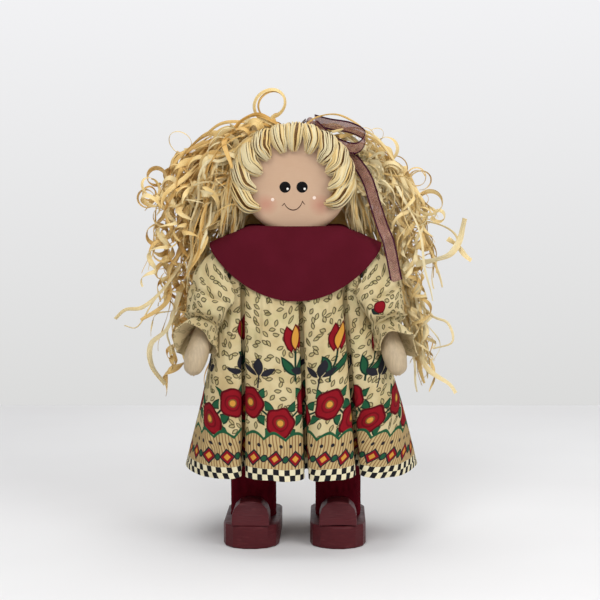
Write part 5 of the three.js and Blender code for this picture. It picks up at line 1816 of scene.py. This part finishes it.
def back_piece():
    """The hair behind the head, what falls beside the face, and the strands that stand out."""
    bundle = Bundle(BACK_SEED)
    # The core behind the strands is darker, as painted shade inside the hair.
    bundle.solid(*back_core(), CORE_SHADE_TONE)
    for layer in BACK_LAYERS:
        for across in np.linspace(-1, 1, BACK_STRANDS):
            back_strand(bundle, float(np.clip(across + bundle.pick(-0.03, 0.03), -1, 1)), layer)
    for sign in SIDES.values():
        # Strands on the right side are made paler, as painted light.
        bundle.pale, bundle.slim = SIDE_PAINTED_LIGHT[sign], FINER[sign]
        for _ in range(NEAR_FALLS):
            side_fall(bundle, sign, near=True)
        for _ in range(FAR_FALLS):
            side_fall(bundle, sign, near=False)
        for _ in range(SHOULDER_FALLS):
            shoulder_fall(bundle, sign)
        for _ in range(FANS[sign]):
            fan_strand(bundle, sign)
        for _ in range(LOW_FALLS[sign]):
            low_fall(bundle, sign)
    bundle.pale, bundle.slim = 0.0, 1.0
    spin = 0.8 * np.sin(5 * np.linspace(0, 1, 30))
    for places, wide, tone in WISPS:
        bundle.strip(hair_line(places, 30), (0, -1, 0), np.full(30, wide), tone, spin)
    bundle.finish("raffia_back", ["hair_back"])


# The crown loop: the hank it stands on, its middle over that hank, and its strands
LOOP_HANK = 6
LOOP_SEAT = HEAD_RADIUS + 7.7
LOOP_RISE = 14
LOOP_FOOT = -17
LOOP_START, LOOP_STEP, LOOP_STEPS = -82, 27, 13

# Radius, shift aside, width, tone and twist of each strand
LOOP_STRANDS = [(11.4, 0, 4.6, 0.7, 0), (9.8, 1.5, 3.0, 0.5, 2)]


def crown_loop_piece():
    """Two thin strands that stand up from the crown in one loop."""
    bundle = Bundle(LOOP_SEED)
    hank = math.radians(BANG_LOWEST + LOOP_HANK * BANG_PITCH)
    across, up = LOOP_SEAT * math.cos(hank) - 1, LOOP_SEAT * math.sin(hank)
    middle = np.array([across, 0, HEAD_Z + up + LOOP_RISE])
    count = 70
    t = np.linspace(0, 1, count)
    for radius, aside, wide, tone, twist in LOOP_STRANDS:
        places = []
        for step in range(LOOP_STEPS):
            turn = math.radians(LOOP_START + step * LOOP_STEP)
            reach = radius * (1 + 0.012 * step) * (1 + 0.09 * math.sin(2 * turn + 0.6))
            x, z = math.cos(turn) * reach + aside, math.sin(turn) * reach * 1.06
            places.append(middle + [x, step * 0.5 - 3, z])
        foot = middle + [3 + aside, 0, LOOP_FOOT]
        line = spline([foot, *places, foot + [4, 3, 1]], count)
        wave = np.sin(6 * t + twist)
        bundle.strip(line, (0, -1, 0), wide * (0.85 + 0.25 * wave), tone, 0.2 + 0.45 * wave)
    bundle.finish("raffia_crown_loop", ["crown_loop"])


# Ribbon

def ribbon_piece(name, path, across, node, flutter):
    """A sheer band with a dark edge on each side, and its length."""
    count = RIBBON_POINTS
    line = spline(path, count)
    t = np.linspace(0, 1, count)[:, None]
    first, last = np.array(across[0], float), np.array(across[1], float)
    width = unit(mix(first, last, t))
    normals = unit(np.cross(unit(np.gradient(line, axis=0)), width))
    half = RIBBON_WIDTH / 2
    edge_line = 1 - 2 * RIBBON_EDGE / RIBBON_WIDTH
    shares = np.array([-1, -edge_line, -0.5, 0, 0.5, edge_line, 1])
    ripple = flutter * np.sin(t * RIBBON_RIPPLES)[:, None] * (shares**2)[None, :, None]
    grid = line[:, None] + width[:, None] * (shares * half)[None, :, None] + normals[:, None] * ripple
    inner = grid - normals[:, None] * RIBBON_CLOTH
    faces = sheet_faces(count, len(shares), False)
    points = np.concatenate([grid.reshape(-1, 3), inner.reshape(-1, 3)])
    columns = np.tile(np.arange(len(shares)), 2 * count)
    edge = (columns[faces] <= 1).all(axis=1) | (columns[faces] >= len(shares) - 2).all(axis=1)
    run = row_runs(grid, 0)
    flat = np.stack([np.broadcast_to(shares * half, run.shape), run, np.ones_like(run)], axis=-1)
    made = piece(name, points, faces, [ORGANZA, RIBBON_EDGES], replaces=[node], slot="organza", sharp=60,
                 which=edge.astype(int), flat=np.tile(flat.reshape(-1, 3), (2, 1)))
    return made, float(run[-1].mean())


KNOT_SIZE = (3.1, 3.4, 4.1)
KNOT_POLE = 0.05
KNOT_CRIMP = 0.1


def ribbon_knot():
    """A small crimped ball that the bow comes out of."""
    angles = round_turn(24)
    wide, deep, tall = KNOT_SIZE
    rings = []
    for turn in np.linspace(KNOT_POLE, np.pi - KNOT_POLE, 14):
        crimp = 1 + KNOT_CRIMP * np.sin(5 * angles + 3 * turn)
        x, y = np.cos(angles) * crimp * wide, np.sin(angles) * crimp * deep
        ring = np.column_stack([x, y, np.zeros_like(x)]) * math.sin(turn)
        rings.append(ring + [0, 0, tall * math.cos(turn)] + KNOT)
    points, faces = loft(rings)
    flat = np.column_stack([points[:, 0], points[:, 2], np.ones(len(points))])
    piece("ribbon_knot_sheer", points, faces, [ORGANZA],
          replaces=["ribbon_knot"], slot="organza", flat=flat)


BACK_TAIL_PATH = [
    KNOT + [2, 6, 0.5], KNOT + [3, 18, -3], hair_place(16, 28.6, 20), hair_place(17.5, 31.6, 0),
    hair_place(19, 34.6, -20), hair_place(20.5, 38.6, -36), hair_place(22, 42.6, -50),
]

# The path of each band, the way across it at its start and its end, and its flutter
RIBBONS = {
    "ribbon_loop_right": (BOW_RIGHT, [(0, -0.35, 0.94), (0, -0.35, 0.94)], 0.3),
    "ribbon_loop_left": (BOW_LEFT, [(0, -0.97, 0.25), (0, -0.8, 0.6)], 0.3),
    "ribbon_tail_front": (TAIL_PATH, [(0.8, -0.4, 0.5), (0.8, -0.1, 0.25)], 0.25),
    "ribbon_tail_back": (BACK_TAIL_PATH, [(1, 0, 0), (1, 0, 0)], 0.3),
}


def ribbons():
    """The bow, whose front tail lies on the right sleeve."""
    ribbon_knot()
    for node, (path, across, flutter) in RIBBONS.items():
        made, long = ribbon_piece(f"{node}_sheer", path, across, node, flutter)
        if node == "ribbon_tail_front":
            across_joint(made, TAIL_TURN, TAIL_END)


# The stage

FLOOR_HALF = 2500
FLOOR_BACK = 620
CAMERA_AT = (3.7, -1300, 345)
CAMERA_AIM = (3.7, 0, 200)
CAMERA_LENS = 94.5
SENSOR_WIDTH = 36
WORLD_STRENGTH = 0.45

# Place, aim, size and power of each lamp
LAMPS = {
    "key": ((-300, -1150, 1250), (0, 0, 150), 800, 9.4),
    "fill": ((1000, -1000, 900), (0, 0, 180), 900, 8.5),
    "top": ((100, 300, 1700), (0, 100, 0), 1300, 9),
}


def aimed(name, data, place, aim):
    """A lamp or camera at a place, turned to what it looks at."""
    made = bpy.data.objects.new(name, data)
    made.location = Vector(place) * MM
    made.rotation_euler = (Vector(aim) - Vector(place)).to_track_quat("-Z", "Y").to_euler()
    bpy.context.scene.collection.objects.link(made)
    return made


def stage():
    """A pale paper floor."""
    floor_finish = Finish("floor_paper", srgb(238, 238, 239), 0.9, specular_ior_level=0.1)
    across, away, _ = floor_finish.place()
    cloud = floor_finish.noise([across, away], scale=0.004)
    floor_finish.paint(cloud.ramp(0.3, 0.7) * 0.5, srgb(229, 228, 229))
    mesh = bpy.data.meshes.new("floor")
    half, back = FLOOR_HALF, FLOOR_BACK
    corners = [(-half, -half), (half, -half), (half, back), (-half, back)]
    mesh.from_pydata([(x * MM, y * MM, 0) for x, y in corners], [], [(0, 1, 2, 3)])
    mesh.materials.append(floor_finish.done())
    floor = bpy.data.objects.new("floor", mesh)
    bpy.context.scene.collection.objects.link(floor)


def world():
    """Even light all round, with a pale wall that only the camera, gloss and glass see."""
    made = bpy.data.worlds.new("studio")
    bpy.context.scene.world = made
    made.use_nodes = True
    tree = made.node_tree
    tree.nodes.clear()
    coordinates = tree.nodes.new("ShaderNodeTexCoord")
    split = tree.nodes.new("ShaderNodeSeparateXYZ")
    tree.links.new(coordinates.outputs["Generated"], split.inputs[0])
    # The wall is painted darker towards its foot, as painted shade.
    height = Wire(tree, split.outputs[2]).ramp(-0.18, 0.08)
    wall = tree.nodes.new("ShaderNodeMix")
    wall.data_type = "RGBA"
    tree.links.new(height.socket, wall.inputs[0])
    wall.inputs[6].default_value = srgb(219, 219, 218)
    wall.inputs[7].default_value = srgb(242, 242, 244)
    seen = tree.nodes.new("ShaderNodeBackground")
    tree.links.new(wall.outputs[2], seen.inputs["Color"])
    light = tree.nodes.new("ShaderNodeBackground")
    light.inputs["Color"].default_value = (1, 1, 1, 1)
    light.inputs["Strength"].default_value = WORLD_STRENGTH
    path = tree.nodes.new("ShaderNodeLightPath")
    straight = Wire(tree, path.outputs["Is Camera Ray"])
    for ray in ("Is Glossy Ray", "Is Transmission Ray"):
        straight = straight.math("MAXIMUM", Wire(tree, path.outputs[ray]))
    blend = tree.nodes.new("ShaderNodeMixShader")
    tree.links.new(straight.socket, blend.inputs[0])
    tree.links.new(light.outputs[0], blend.inputs[1])
    tree.links.new(seen.outputs[0], blend.inputs[2])
    output = tree.nodes.new("ShaderNodeOutputWorld")
    tree.links.new(blend.outputs[0], output.inputs[0])


def lamp(name, place, aim, size, watts):
    data = bpy.data.lights.new(name, "AREA")
    data.shape = "DISK"
    data.size = size * MM
    data.energy = watts
    aimed(name, data, place, aim)


def camera():
    data = bpy.data.cameras.new("camera")
    data.lens = CAMERA_LENS
    data.sensor_width = SENSOR_WIDTH
    bpy.context.scene.camera = aimed("camera", data, CAMERA_AT, CAMERA_AIM)


camera()
bpy.context.scene.view_settings.view_transform = "Standard"
stage()
world()
for name, settings in LAMPS.items():
    lamp(name, *settings)

head_piece()
face()
for side in SIDES:
    sole_piece(side)
    toe_piece(side)
    stocking_piece(side)
    hand_piece(side)
    sleeve_piece(side)
dress_piece("dress_front_cotton", "dress_front", -1, FRONT_FOLDS, (52, 58, 56, 52))
dress_piece("dress_back_cotton", "dress_back", 1, BACK_FOLDS, (44, 44, 44, 44, 44))
collar_piece()
for index in range(BANG_COUNT):
    bang_piece(index)
for side in SIDES:
    for name in LOCKS:
        lock_piece(name, side)
back_piece()
crown_loop_piece()
ribbons()
